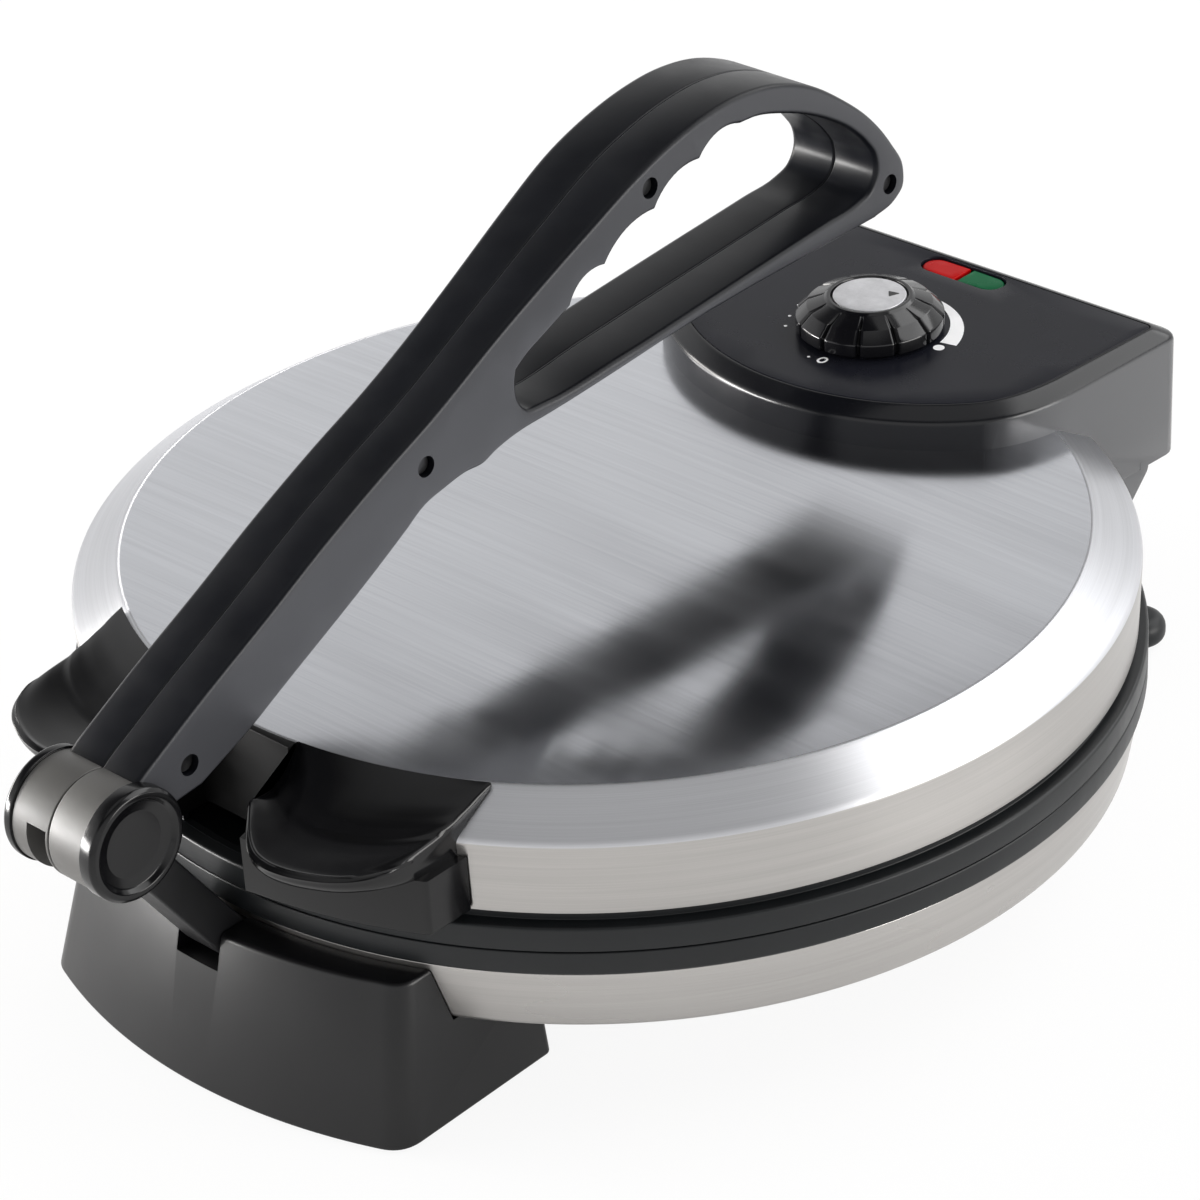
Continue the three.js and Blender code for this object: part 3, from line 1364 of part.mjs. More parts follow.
// Link and lever
place("front_link", frontLink(), "blackPlastic");
place("lever_pin", leverPin(), "pinSteel");
place("lever_left", leverHalfSolid(-1), "leverPlastic");
place("lever_right", leverHalfSolid(1), "leverPlastic");
place("barrel_cap_left", barrelCap(-1), "glossPlastic");
place("barrel_cap_right", barrelCap(1), "glossPlastic");
LEVER_SCREW_shares.forEach((share, i) => place(`lever_screw_${i + 1}`, leverScrew(share), "pinSteel"));

// The part's origin lies under the middle of its box.
const box = new THREE.Box3().setFromObject(assembly);
const middle = box.getCenter(new THREE.Vector3());
assembly.position.set(-middle.x, -middle.y, -box.min.z);

export default assembly;
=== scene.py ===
"""The roti maker's finished surfaces, materials, light and camera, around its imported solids."""

import bmesh
import bpy
import numpy as np
from mathutils import Matrix, Vector
from mathutils.geometry import delaunay_2d_cdt


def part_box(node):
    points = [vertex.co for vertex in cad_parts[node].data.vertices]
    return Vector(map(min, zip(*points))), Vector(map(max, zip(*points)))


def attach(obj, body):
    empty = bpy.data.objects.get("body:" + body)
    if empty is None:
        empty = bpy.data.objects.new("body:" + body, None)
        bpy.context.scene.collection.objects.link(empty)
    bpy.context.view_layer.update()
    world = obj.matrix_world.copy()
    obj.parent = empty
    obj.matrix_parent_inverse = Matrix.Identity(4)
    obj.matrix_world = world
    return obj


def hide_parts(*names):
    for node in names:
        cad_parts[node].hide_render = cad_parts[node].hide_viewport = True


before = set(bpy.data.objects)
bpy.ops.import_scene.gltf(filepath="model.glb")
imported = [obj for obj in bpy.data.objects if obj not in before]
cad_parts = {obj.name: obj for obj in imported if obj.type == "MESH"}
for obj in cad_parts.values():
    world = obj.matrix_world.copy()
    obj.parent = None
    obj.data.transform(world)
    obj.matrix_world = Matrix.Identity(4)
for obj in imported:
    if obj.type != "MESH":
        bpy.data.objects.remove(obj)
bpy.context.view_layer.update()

# Everything below is in millimetres about the plates' axis, with heights above the table, until a mesh is made.
MILLIMETRE = 0.001
FULL_TURN = 2 * np.pi
FLIP = np.array([-1, 1])

# Pins by their y and height, the radii of their bores, and the knob's axis by its x and y
HINGE = np.array([161.0, 55.0])
FOOT_PIN = np.array([-156.0, 41.5])
LEVER_PIN = np.array([-191.0, 93.4])
PIN_BORE = 3.3
LINK_BORE = 2.3
DIAL = np.array([2.5, 115.0])
pin_low, pin_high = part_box("hinge_pin")
REAR_SHIFT = (pin_low[1] + pin_high[1]) / 2 / MILLIMETRE - HINGE[0]
PLATE_AXIS = np.array([0.0, REAR_SHIFT, 0.0])

# Heights and radii that the solids also have
BASE_FLOOR = 28.3
RING_FOOT = 47.3
RING_SPLIT = 54.7
RING_HEAD = 62.2
BAND_FOOT = 65.2
SHOULDER = 86.4
CROWN_EDGE = 95.2
DOME_RISE = 1.6
PANEL_HEIGHT = 107.9
RING_RADIUS = 152.0
RING_INSIDE = 127.5
SHOULDER_RADIUS = 150.0
BAND_RADIUS = 149.25
CROWN_RADIUS = 136.35
PAN_RADIUS = 151.0
PAN_FLOOR_RADIUS = 147.8
CREST_RADIUS = 137.5
SHEET = 1.2
GAP = 0.3


# Curves


def unit(vectors):
    """Vectors divided by their lengths."""
    return vectors / np.maximum(np.linalg.norm(vectors, axis=-1, keepdims=True), 1e-9)


def tidy_loop(points, nearest=0.02):
    """A closed loop without points that fall on the one before."""
    points = np.asarray(points, float)
    gaps = np.linalg.norm(points - np.roll(points, 1, 0), axis=1)
    return points[gaps > nearest]


def rounded(corners, radii, steps=4):
    """A closed polygon whose corners are arcs. An arc's centre lies on the corner's bisector, at radius / sin of
    half the angle, and its points turn from one tangent point to the other by equal angles."""
    corner = np.asarray(corners, float)
    radius = np.broadcast_to(np.asarray(radii, float), (len(corner),))[:, None]
    back = unit(np.roll(corner, 1, 0) - corner)
    ahead = unit(np.roll(corner, -1, 0) - corner)
    half = np.maximum(np.arccos(np.clip((back * ahead).sum(1, keepdims=True), -1, 1)) / 2, 1e-6)
    centre = corner + unit(back + ahead) * radius / np.sin(half)
    first = corner + back * radius / np.tan(half) - centre
    last = corner + ahead * radius / np.tan(half) - centre
    sweep = np.pi - 2 * half
    share = np.linspace(0, 1, steps + 1)[None, :, None]
    sweep = np.maximum(sweep, 1e-6)[:, :, None]
    bow = (np.sin((1 - share) * sweep) * first[:, None] + np.sin(share * sweep) * last[:, None]) / np.sin(sweep)
    return tidy_loop((centre[:, None] + bow).reshape(-1, 2))


def flowing(points, steps=6):
    """A curve through points. Between two points it is a cubic whose slopes at both ends are the means of the
    neighbouring chords' directions, weighted so that the shorter chord counts more."""
    p = np.asarray(points, float)
    chord = np.diff(p, axis=0)
    length = np.linalg.norm(chord, axis=1, keepdims=True)
    way = chord / length
    inner = (way[:-1] * length[1:] + way[1:] * length[:-1]) / (length[1:] + length[:-1])
    slope = chain(way[:1], inner, way[-1:])
    t = np.arange(steps)[None, :, None] / steps
    leaving, arriving = (slope[:-1] * length)[:, None], (slope[1:] * length)[:, None]
    spans = (
        (2 * t**3 - 3 * t**2 + 1) * p[:-1, None] + (t**3 - 2 * t**2 + t) * leaving
        + (3 * t**2 - 2 * t**3) * p[1:, None] + (t**3 - t**2) * arriving
    )
    return chain(spans.reshape(-1, 2), p[-1:])


def arc(centre, radius, start, end, steps):
    """Points on a circle between two angles in degrees, both ends counted."""
    angle = np.radians(np.linspace(start, end, steps + 1))
    return np.asarray(centre, float) + radius * np.stack([np.cos(angle), np.sin(angle)], 1)


def chain(*lines):
    """Lines of points, one after another."""
    return np.concatenate(lines)


def ring(centre, radius, steps):
    """Points round a whole circle, by equal angles."""
    return arc(centre, radius, 0, 360, steps)[:-1]


def front_arc(radius, half_angle, steps):
    """An arc about the plates' axis, from left to right across the front."""
    return arc((0, 0), radius, 270 - half_angle, 270 + half_angle, steps)


def oblong(left, front, right, rear):
    """The four corners of a rectangle, counterclockwise."""
    return np.array([(left, front), (right, front), (right, rear), (left, rear)])


def bent(start, corner, end, steps):
    """A quadratic curve from start to end: at share t it is (1 - t)^2 start + 2 t (1 - t) corner + t^2 end."""
    t = np.linspace(0, 1, steps + 1)[:, None]
    return (1 - t) ** 2 * np.array(start) + 2 * t * (1 - t) * np.array(corner) + t**2 * np.array(end)


def inset(loop, distance):
    """A closed loop, or a stack of loops, moved to its left by a distance, along the normal to the chord between
    each point's neighbours."""
    way = unit(np.roll(loop, -1, -2) - np.roll(loop, 1, -2))
    return loop + distance * np.stack([-way[..., 1], way[..., 0]], -1)


def area(loop):
    """Signed area of a closed loop, positive when it runs counterclockwise."""
    (x, y), (next_x, next_y) = loop.T, np.roll(loop, -1, 0).T
    return 0.5 * np.sum(x * next_y - next_x * y)


def inside(points, loop):
    """Which points lie in a closed loop, by counting the edges that a ray to the right crosses."""
    (x1, y1), (x2, y2) = loop.T[:, None], np.roll(loop, -1, 0).T[:, None]
    x, y = points.T[..., None]
    spans = (y1 > y) != (y2 > y)
    crossing = x1 + (y - y1) * (x2 - x1) / np.where(spans, y2 - y1, 1)
    return (np.sum(spans & (x < crossing), axis=1) % 2).astype(bool)


# Surfaces, each a pair of points and faces


def grid(points, wrap_rows=False):
    """Quads over an array of points, rows by columns, closed along each row, and along the columns where asked."""
    rows, columns = points.shape[:2]
    i = np.arange(rows if wrap_rows else rows - 1)[:, None]
    j = np.arange(columns)[None, :]
    i2, j2 = (i + 1) % rows, (j + 1) % columns
    faces = np.stack([i * columns + j, i * columns + j2, i2 * columns + j2, i2 * columns + j], -1)
    return points.reshape(-1, 3), faces.reshape(-1, 4).tolist()


def joined(parts):
    """Several surfaces as one list of points and one of faces."""
    verts, faces, count = [], [], 0
    for points, polygons in parts:
        verts.append(points)
        faces += [[k + count for k in face] for face in polygons]
        count += len(points)
    return np.concatenate(verts), faces


def turned(profile, facets=192):
    """A surface of revolution: each (radius, height) of the profile swept round the Z axis. A profile that starts
    on the axis ends there, and any other closes on itself."""
    angle = np.arange(facets) / facets * FULL_TURN
    radius, height = profile.T[..., None]
    points = np.stack([radius * np.cos(angle), radius * np.sin(angle), height + 0 * angle], -1)
    return grid(points, wrap_rows=bool(profile[0, 0] > 1e-6))


def from_axis(profile, height):
    """A closed profile rolled so that it starts at the point on the axis that lies below a height."""
    first = int(np.argmin(profile[:, 0] + (profile[:, 1] > height) * 50))
    profile = np.roll(profile, -first, 0)
    profile[0, 0] = 0
    return profile


def at_depth(loop, depth):
    """Flat points with one depth as their third number."""
    return np.column_stack([loop, np.full(len(loop), depth)])


def filled(outer, holes, depth, spacing):
    """Triangles at a depth over an outline less its holes. A lattice of points keeps them near one size."""
    def within(points):
        """Which points lie in the outline and in none of its holes."""
        keep = inside(points, outer)
        for hole in holes:
            keep &= ~inside(points, hole)
        return keep

    low, high = outer.min(0) + spacing / 2, outer.max(0)
    across, up = np.arange(low[0], high[0], spacing), np.arange(low[1], high[1], spacing)
    lattice = np.stack(np.meshgrid(across, up), -1).reshape(-1, 2)
    lattice = lattice[within(lattice)]
    loops = [outer, *holes]
    rim = np.concatenate(loops)
    if len(lattice):
        nearest = np.linalg.norm(lattice[:, None] - rim[None], axis=2).min(1)
        lattice = lattice[nearest > spacing * 0.45]
    edges, start = [], 0
    for loop in loops:
        k = np.arange(len(loop))
        edges += np.stack([start + k, start + np.roll(k, -1)], 1).tolist()
        start += len(loop)
    flat = chain(rim, lattice).tolist()
    verts, _, faces, *_ = delaunay_2d_cdt(flat, edges, [], 0, 1e-6)
    verts, faces = np.array(verts), np.array(faces)
    return at_depth(verts, depth), faces[within(verts[faces].mean(1))].tolist()


SOFT_STEPS = 4
PIT_STEPS = 24


def slab(outer, low, high, soft=(0, 0), spacing=6.0, holes=(), pits=()):
    """A plate from a low depth to a high one, whose edges there are quarter circles of the two soft radii: at
    angle a the wall has moved in by radius * (1 - cos a) and stands radius * (1 - sin a) short of the face.
    Points are (across, up, depth). Pits are (centre, radius, depth) wells sunk from the high face."""
    outer = outer if area(outer) > 0 else outer[::-1]
    holes = [hole if area(hole) < 0 else hole[::-1] for hole in holes]
    turn = np.linspace(0, np.pi / 2, SOFT_STEPS + 1)
    rows = [(soft[0] * (1 - np.cos(a)), low + soft[0] * (1 - np.sin(a))) for a in turn[::-1]]
    rows += [(soft[1] * (1 - np.cos(a)), high - soft[1] * (1 - np.sin(a))) for a in turn]
    rows = rows[0 if soft[0] else SOFT_STEPS:len(rows) - (0 if soft[1] else SOFT_STEPS)]
    parts = [
        grid(np.stack([at_depth(inset(loop, step), depth) for step, depth in rows])) for loop in [outer, *holes]]
    for (step, depth), wells in ((rows[0], ()), (rows[-1], pits)):
        rims = [inset(hole, step) for hole in holes]
        rims += [arc(centre, radius, 360, 0, PIT_STEPS)[:-1] for centre, radius, _ in wells]
        parts.append(filled(inset(outer, step), rims, depth, spacing))
    for centre, radius, depth in pits:
        rim, floor = ring(centre, radius, PIT_STEPS), ring(centre, 0, PIT_STEPS)
        levels = ((rim, rows[-1][1]), (rim, high - depth), (floor, high - depth))
        parts.append(grid(np.stack([at_depth(loop, level) for loop, level in levels])))
    return joined(parts)


def to_side(part):
    """(across, up, depth) turned so that across is Y, up is Z and depth is X."""
    return part[0][:, [2, 0, 1]], part[1]


def moved(part, offset):
    """A surface shifted by an offset."""
    return part[0] + np.asarray(offset, float), part[1]


def mirrored(part):
    """A surface mirrored in the plane x = 0."""
    return part[0] * (-1, 1, 1), part[1]


def on_side(part, side):
    """A surface of the right side, or its mirror image for the left."""
    return mirrored(part) if side < 0 else part


# Meshes and pieces


def bare_mesh(part):
    """A mesh in metres in the row's frame, with its doubles merged and its faces outward."""
    verts, faces = part
    mesh = bpy.data.meshes.new("shape")
    mesh.from_pydata(((verts + PLATE_AXIS) * MILLIMETRE).tolist(), [], faces)
    work = bmesh.new()
    work.from_mesh(mesh)
    bmesh.ops.remove_doubles(work, verts=work.verts, dist=1e-6)
    bmesh.ops.dissolve_degenerate(work, edges=work.edges, dist=1e-7)
    bmesh.ops.recalc_face_normals(work, faces=work.faces)
    work.to_mesh(mesh)
    work.free()
    return mesh


def placed(name, data):
    """A new object of the scene that shows a mesh, lamp or camera."""
    thing = bpy.data.objects.new(name, data)
    bpy.context.scene.collection.objects.link(thing)
    return thing


def carved(part, cutters=(), additions=(), hollows=()):
    """A mesh of a surface that is hollowed by some, then joined with others, then cut by others."""
    thing = placed("shape", bare_mesh(part))
    tools = []
    for operation, shapes in (("DIFFERENCE", hollows), ("UNION", additions), ("DIFFERENCE", cutters)):
        for shape in shapes:
            tools.append(placed("tool", bare_mesh(shape)))
            step = thing.modifiers.new("step", "BOOLEAN")
            step.operation = operation
            step.solver = "EXACT"
            step.object = tools[-1]
    bpy.context.view_layer.update()
    mesh = bpy.data.meshes.new_from_object(thing.evaluated_get(bpy.context.evaluated_depsgraph_get()))
    for used in [*tools, thing]:
        bpy.data.objects.remove(used)
    return mesh


def read(items, name, width=3, kind=float):
    """One attribute of all of a mesh's items as an array, with a row for each item where it has a width."""
    values = np.empty(len(items) * width, kind)
    items.foreach_get(name, values)
    return values.reshape(-1, width) if width > 1 else values


def in_millimetres(points):
    """A mesh's points in millimetres about the plates' axis."""
    return points / MILLIMETRE - PLATE_AXIS


def part_of(mesh):
    """A mesh's points, back in millimetres, and its faces."""
    return in_millimetres(read(mesh.vertices, "co")), [list(face.vertices) for face in mesh.polygons]


def second_finish(thing, material, chosen):
    """Gives a second material to the faces that are chosen by their middles' x, y and z in millimetres."""
    mesh = thing.data
    slots = read(mesh.polygons, "material_index", 1, int)
    mesh.materials.append(material)
    picked = chosen(*in_millimetres(read(mesh.polygons, "center")).T)
    mesh.polygons.foreach_set("material_index", np.where(picked, len(mesh.materials) - 1, slots))


def grain_mapped(mesh):
    """A map in metres whose first number runs along the metal's grain. On the flat crown it is (x, y). On the
    bevel, band and pan it is (angle * radius, height - radius), with its seam at the rear. A face's angles are
    kept within half a turn of its middle's."""
    x, y, z = in_millimetres(read(mesh.vertices, "co"))[read(mesh.loops, "vertex_index", 1, int)].T
    sizes = read(mesh.polygons, "loop_total", 1, int)
    middle_x, middle_y, _ = np.repeat(in_millimetres(read(mesh.polygons, "center")), sizes, axis=0).T
    flat = np.repeat(np.abs(read(mesh.polygons, "normal")[:, 2]) > 0.97, sizes)
    middle_turn = np.arctan2(middle_x, -middle_y)
    turn = middle_turn + (np.arctan2(x, -y) - middle_turn + np.pi) % FULL_TURN - np.pi
    along = np.where(flat, x, turn * SHOULDER_RADIUS)
    across = np.where(flat, y, z - np.hypot(x, y))
    chart = mesh.uv_layers.new(name="grain")
    chart.data.foreach_set("uv", (np.stack([along, across], 1) * MILLIMETRE).ravel())
    return mesh


def piece(name, shape, body, material, nodes=(), sharp=32.0):
    """A visible piece: a mesh, or a surface that becomes one, riding on a body and standing for solids. Edges
    whose faces meet at more than the sharp angle stay crisp."""
    mesh = shape if isinstance(shape, bpy.types.Mesh) else bare_mesh(shape)
    mesh.name = name
    mesh.polygons.foreach_set("use_smooth", np.ones(len(mesh.polygons), bool))
    mesh.set_sharp_from_angle(angle=np.radians(sharp))
    mesh.materials.clear()
    mesh.materials.append(material)
    thing = placed(name, mesh)
    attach(thing, body)
    if nodes:
        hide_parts(*nodes)
    return thing


def finished(node, shape, body, material, sharp=32.0):
    """A piece that stands for the one solid that it is named after."""
    return piece(f"{node}_finished", shape, body, material, (node,), sharp)


# Materials


def new_node(tree, kind, inputs, **settings):
    """A node with its settings. Its inputs are linked to other nodes' outputs or set to plain values."""
    made = tree.nodes.new(f"ShaderNode{kind}")
    for key, value in settings.items():
        setattr(made, key, value)
    for key, value in inputs.items():
        if isinstance(value, bpy.types.NodeSocket):
            tree.links.new(value, made.inputs[key])
        else:
            made.inputs[key].default_value = value
    return made


class Finish:
    """A node material around one Principled shader, with small helpers for its patterns."""

    def __init__(self, name, colour, roughness, metallic=0.0, **sockets):
        self.material = bpy.data.materials.new(name)
        self.material.use_nodes = True
        self.tree = self.material.node_tree
        self.shader = self.tree.nodes["Principled BSDF"]
        self.colour = colour
        self.height = None
        sockets = {"Base_Color": (*colour, 1), "Roughness": roughness, "Metallic": metallic, **sockets}
        for key, value in sockets.items():
            self.shader.inputs[key.replace("_", " ")].default_value = value

    def node(self, kind, inputs, **settings):
        """A node of the material's tree."""
        return new_node(self.tree, kind, inputs, **settings)

    def feed(self, output, socket):
        """Links an output to one of the shader's sockets."""
        self.tree.links.new(output, self.shader.inputs[socket])

    def place(self, stretch=(1, 1, 1), source="Object"):
        """Coordinates of a kind, each multiplied by its stretch."""
        where = self.node("TexCoord", {}).outputs[source]
        return self.node("Mapping", {"Vector": where, "Scale": stretch}).outputs[0]

    def noise(self, place, scale, detail=2.0, roughness=0.5):
        """A noise pattern: each octave of its detail has twice the scale and a share of the strength before."""
        inputs = {"Vector": place, "Scale": scale, "Detail": detail, "Roughness": roughness}
        return self.node("TexNoise", inputs).outputs["Fac"]

    def ranged(self, value, low, high, start=0.3, end=0.7):
        """Low up to the start of a pattern's range, high from its end on, and a straight line between them."""
        inputs = {"Value": value, "From Min": start, "From Max": end, "To Min": low, "To Max": high}
        return self.node("MapRange", inputs).outputs["Result"]

    def mixed(self, share, first, second):
        """A colour between two by a share."""
        return self.node("Mix", {0: share, 6: first, 7: second}, data_type="RGBA").outputs[2]

    def tint(self, value, low, high):
        """The base colour between two shares of itself, as a pattern goes."""
        first, second = ((*(c * share for c in self.colour), 1) for share in (low, high))
        shade = self.mixed(self.ranged(value, 0, 1), first, second)
        self.feed(shade, "Base Color")
        return shade

    def rough(self, value, low, high):
        """The roughness between two values, as a pattern goes."""
        self.feed(self.ranged(value, low, high), "Roughness")

    def bump(self, value, distance):
        """Adds a height pattern, its distance in millimetres, over those added before."""
        inputs = {"Strength": 1, "Distance": distance * MILLIMETRE, "Height": value}
        if self.height:
            inputs["Normal"] = self.height
        self.height = self.node("Bump", inputs).outputs["Normal"]
        self.feed(self.height, "Normal")


def moulded(name, colour, roughness, texture=0.004, spread=0.06, specular=0.5, painted_flank_light=None, **sockets):
    """Moulded plastic: a fine spark-eroded grain, slow waviness and patches that are a little more worn. The faces
    that look along X may have a lighter colour of their own, painted light that stands in for the lamps' light on
    the sides: the share of it rises from none to all as the size of the normal's X goes from 0.75 to 0.97."""
    finish = Finish(name, colour, roughness, Specular_IOR_Level=specular, **sockets)
    place = finish.place()
    grain_scale, wave_scale, wave_height = (1300, 20, 0.05) if painted_flank_light else (1500, 22, 0.06)
    finish.bump(finish.noise(place, grain_scale), texture)
    finish.bump(finish.noise(place, wave_scale, 1), wave_height)
    finish.rough(finish.noise(place, 60, 5, 0.65), roughness - spread, roughness + spread)
    shade = finish.tint(finish.noise(place, 35, 4, 0.6), 0.85, 1.15)
    # painted light: a lighter colour on the faces that look along X
    if painted_flank_light:
        normal = finish.node("SeparateXYZ", {0: finish.node("TexCoord", {}).outputs["Normal"]})
        away = finish.node("Math", {0: normal.outputs[0]}, operation="ABSOLUTE").outputs[0]
        finish.feed(finish.mixed(finish.ranged(away, 0, 1, 0.75, 0.97), shade, (*painted_flank_light, 1)), "Base Color")
    return finish.material


def brushed(name, colour, roughness, anisotropy=0.75):
    """Brushed steel: scratches from noise stretched along the piece's grain map, hair-fine and broad, with a
    height and tone that follow them, and slow clouds of roughness where it was wiped."""
    finish = Finish(name, colour, roughness, 1, Anisotropic=anisotropy, Anisotropic_Rotation=0.25)
    finish.feed(finish.node("Tangent", {}, direction_type="UV_MAP", uv_map="grain").outputs[0], "Tangent")
    hair = finish.noise(finish.place((16, 2600, 1), "UV"), 1, 3, 0.6)
    broad = finish.noise(finish.place((5, 420, 1), "UV"), 1, 3, 0.6)
    clouds = finish.noise(finish.place((9, 34, 1), "UV"), 1)
    finish.bump(hair, 0.0012)
    finish.bump(broad, 0.0022)
    finish.rough(clouds, roughness - 0.04, roughness + 0.05)
    both = finish.node("Mix", {0: 0.5, 2: hair, 3: broad}).outputs[0]
    finish.tint(both, 0.9, 1.07)
    return finish.material


def worn_metal(name, colour, roughness, metallic=1.0):
    """Plain steel or cast metal: speckled tone, mottled roughness and a fine grain."""
    finish = Finish(name, colour, roughness, metallic)
    place = finish.place()
    finish.tint(finish.noise(place, 120, 5, 0.7), 0.8, 1.12)
    finish.rough(finish.noise(place, 300, 3), roughness - 0.1, roughness + 0.1)
    finish.bump(finish.noise(place, 900, 3), 0.01)
    return finish.material


lid_brushed = brushed("brushed lid steel", (0.59, 0.6, 0.632), 0.155)
bevel_brushed = brushed("brushed bevel steel", (0.68, 0.685, 0.71), 0.42, 0.9)
# painted reflection: the band's warmer tone stands in for a warm surface mirrored in it
band_brushed_painted_reflection = brushed("brushed band steel", (0.465, 0.45, 0.435), 0.3)
pan_brushed = brushed("brushed pan steel", (0.47, 0.455, 0.44), 0.27)
cap_silver = worn_metal("silvered cap", (0.62, 0.62, 0.64), 0.42, 0.6)
pin_steel = worn_metal("pin steel", (0.5, 0.5, 0.5), 0.3)
screw_dark = worn_metal("blackened screw", (0.05, 0.05, 0.052), 0.4)
heater_steel = worn_metal("sheath steel", (0.3, 0.28, 0.27), 0.45)
plate_coat = worn_metal("plate coating", (0.03, 0.03, 0.032), 0.5, 0.3)
# painted light: the lever's faces that look along X get a lighter colour for the lamps' light on its sides
lever_grey = moulded(
    "lever plastic", (0.004, 0.0045, 0.0065), 0.33, 0.005, 0.05, specular=0.22, painted_flank_light=(0.044, 0.045, 0.05))
# painted light: the housing's faces that look along X get a lighter colour for the lamps' light on its walls
housing_black = moulded(
    "housing plastic", (0.004, 0.0043, 0.0058), 0.22, 0.003, 0.05, specular=0.4, painted_flank_light=(0.085, 0.086, 0.09))
# painted reflection: the barrel's lighter grey stands in for the bright floor mirrored in its dark plastic
barrel_painted_sheen = moulded(
    "barrel plastic", (0.06, 0.058, 0.055), 0.5, 0.003, specular=0.55,
    Coat_Weight=0.1, Coat_Roughness=0.4, Coat_IOR=1.6)
ring_black = moulded("ring plastic", (0.006, 0.007, 0.008), 0.4, specular=0.35)
# painted shade: a darker, duller copy of the grip's plastic for the shadowed inside of the channel
channel_painted_shade = moulded("channel plastic", (0.002, 0.002, 0.0022), 0.6, specular=0.15)
grip_black = moulded("grip plastic", (0.003, 0.003, 0.0035), 0.16, 0.0006, 0.04, specular=0.35)
foot_black = moulded("foot plastic", (0.003, 0.003, 0.0036), 0.3, 0.0002, 0.015, specular=0.4)
panel_slate = moulded("panel slate", (0.009, 0.0095, 0.014), 0.26, 0.001, 0.03, specular=0.12)
link_black = moulded("link plastic", (0.01, 0.01, 0.011), 0.35)
knob_black = moulded("knob plastic", (0.004, 0.004, 0.005), 0.12, 0.001)
pad_rubber = moulded("pad rubber", (0.012, 0.012, 0.012), 0.8, 0.02)
lens_red = moulded("red lens", (0.4, 0.003, 0.003), 0.25, 0.002, specular=0.08)
lens_green = moulded("green lens", (0.0005, 0.1, 0.035), 0.25, 0.002, specular=0.08)
lamp_glass = moulded("lamp glass", (0.7, 0.6, 0.5), 0.1, 0.001)
print_white = moulded("dial print", (0.95, 0.95, 0.96), 0.5, 0.001)
pointer_dark = moulded("pointer print", (0.02, 0.02, 0.022), 0.5, 0.001)


# Steel shells and rings


def crown_height(radius):
    """The dome: a parabola that falls by the dome's rise from the axis to the bevel's inner edge."""
    return CROWN_EDGE + DOME_RISE * (1 - (radius / CROWN_RADIUS) ** 2)


def sheet_line(drop):
    """The lid's sheet in section, from the axis over the crown and the bevel and down the band, at a depth of
    drop under its outer face. Its corner radii are less by the drop."""
    start = 100
    knee = rounded(
        [(start, 50), (start, crown_height(start) - drop), (CROWN_RADIUS - drop * 0.4, CROWN_EDGE - drop),
         (SHOULDER_RADIUS - drop, SHOULDER - drop * 0.4), (BAND_RADIUS - drop, BAND_FOOT), (start, BAND_FOOT)],
        [0, 0, 4 - drop, 2.6 - drop, 0, 0], 8)
    knee = knee[(knee[:, 1] > BAND_FOOT - 0.01) & (knee[:, 0] > CROWN_RADIUS - 12)]
    radius = np.linspace(0, CROWN_RADIUS - 14, 16)
    return chain(np.stack([radius, crown_height(radius) - drop], 1), knee)


def root_window(low):
    """The window that the lever's root drops into. Its rear edge follows the front grip's crest."""
    rear = front_arc(CREST_RADIUS, 8.15, 12)[::-1]
    return slab(chain([(-19.5, -160), (19.5, -160)], rear), low, 100)


def lid_steel():
    """The lid's sheet, turned from its section, with the lever root's window and the shaft's well cut from it."""
    shell = turned(chain(sheet_line(0), sheet_line(SHEET)[::-1]), 288)
    well = slab(ring(DIAL, 16, 48), 80, 105)
    return grain_mapped(carved(shell, (root_window(60), well)))


def pan_steel():
    """The pan's sheet: a floor with a round opening and a leaning wall up into the ring."""
    opening = 88
    return grain_mapped(bare_mesh(turned(rounded(
        [(opening, BASE_FLOOR), (PAN_FLOOR_RADIUS, BASE_FLOOR), (PAN_RADIUS, RING_FOOT),
         (PAN_RADIUS - SHEET, RING_FOOT), (PAN_FLOOR_RADIUS - SHEET, BASE_FLOOR + SHEET),
         (opening, BASE_FLOOR + SHEET)],
        [0.4, 2.2, 0.3, 0.3, 1.2, 0.4]))))


def base_ring():
    """The base's ring: a flat ring with a lip that hangs down inside the pan's rim."""
    lip_foot, underside = 43.3, 47.6
    return turned(rounded(
        [(RING_INSIDE, underside), (146, underside), (146, lip_foot), (148.2, lip_foot), (149.3, underside),
         (RING_RADIUS, underside), (RING_RADIUS, RING_SPLIT), (RING_INSIDE, RING_SPLIT)],
        [0.4, 0.3, 0.3, 0.3, 0.3, 0.9, 0.45, 0.4]))


def lid_ring():
    """The lid's ring: a flat ring with a lip that stands up inside the band, less the lever root's window."""
    foot, lip_head = 55, 68
    whole = turned(rounded(
        [(RING_INSIDE, foot), (RING_RADIUS, foot), (RING_RADIUS, RING_HEAD), (147.7, RING_HEAD), (147.7, lip_head),
         (145.8, lip_head), (145.8, RING_HEAD), (RING_INSIDE, RING_HEAD)],
        [0.4, 0.45, 0.9, 0.3, 0.3, 0.3, 0.3, 0.4]))
    return carved(whole, (root_window(62.25),))


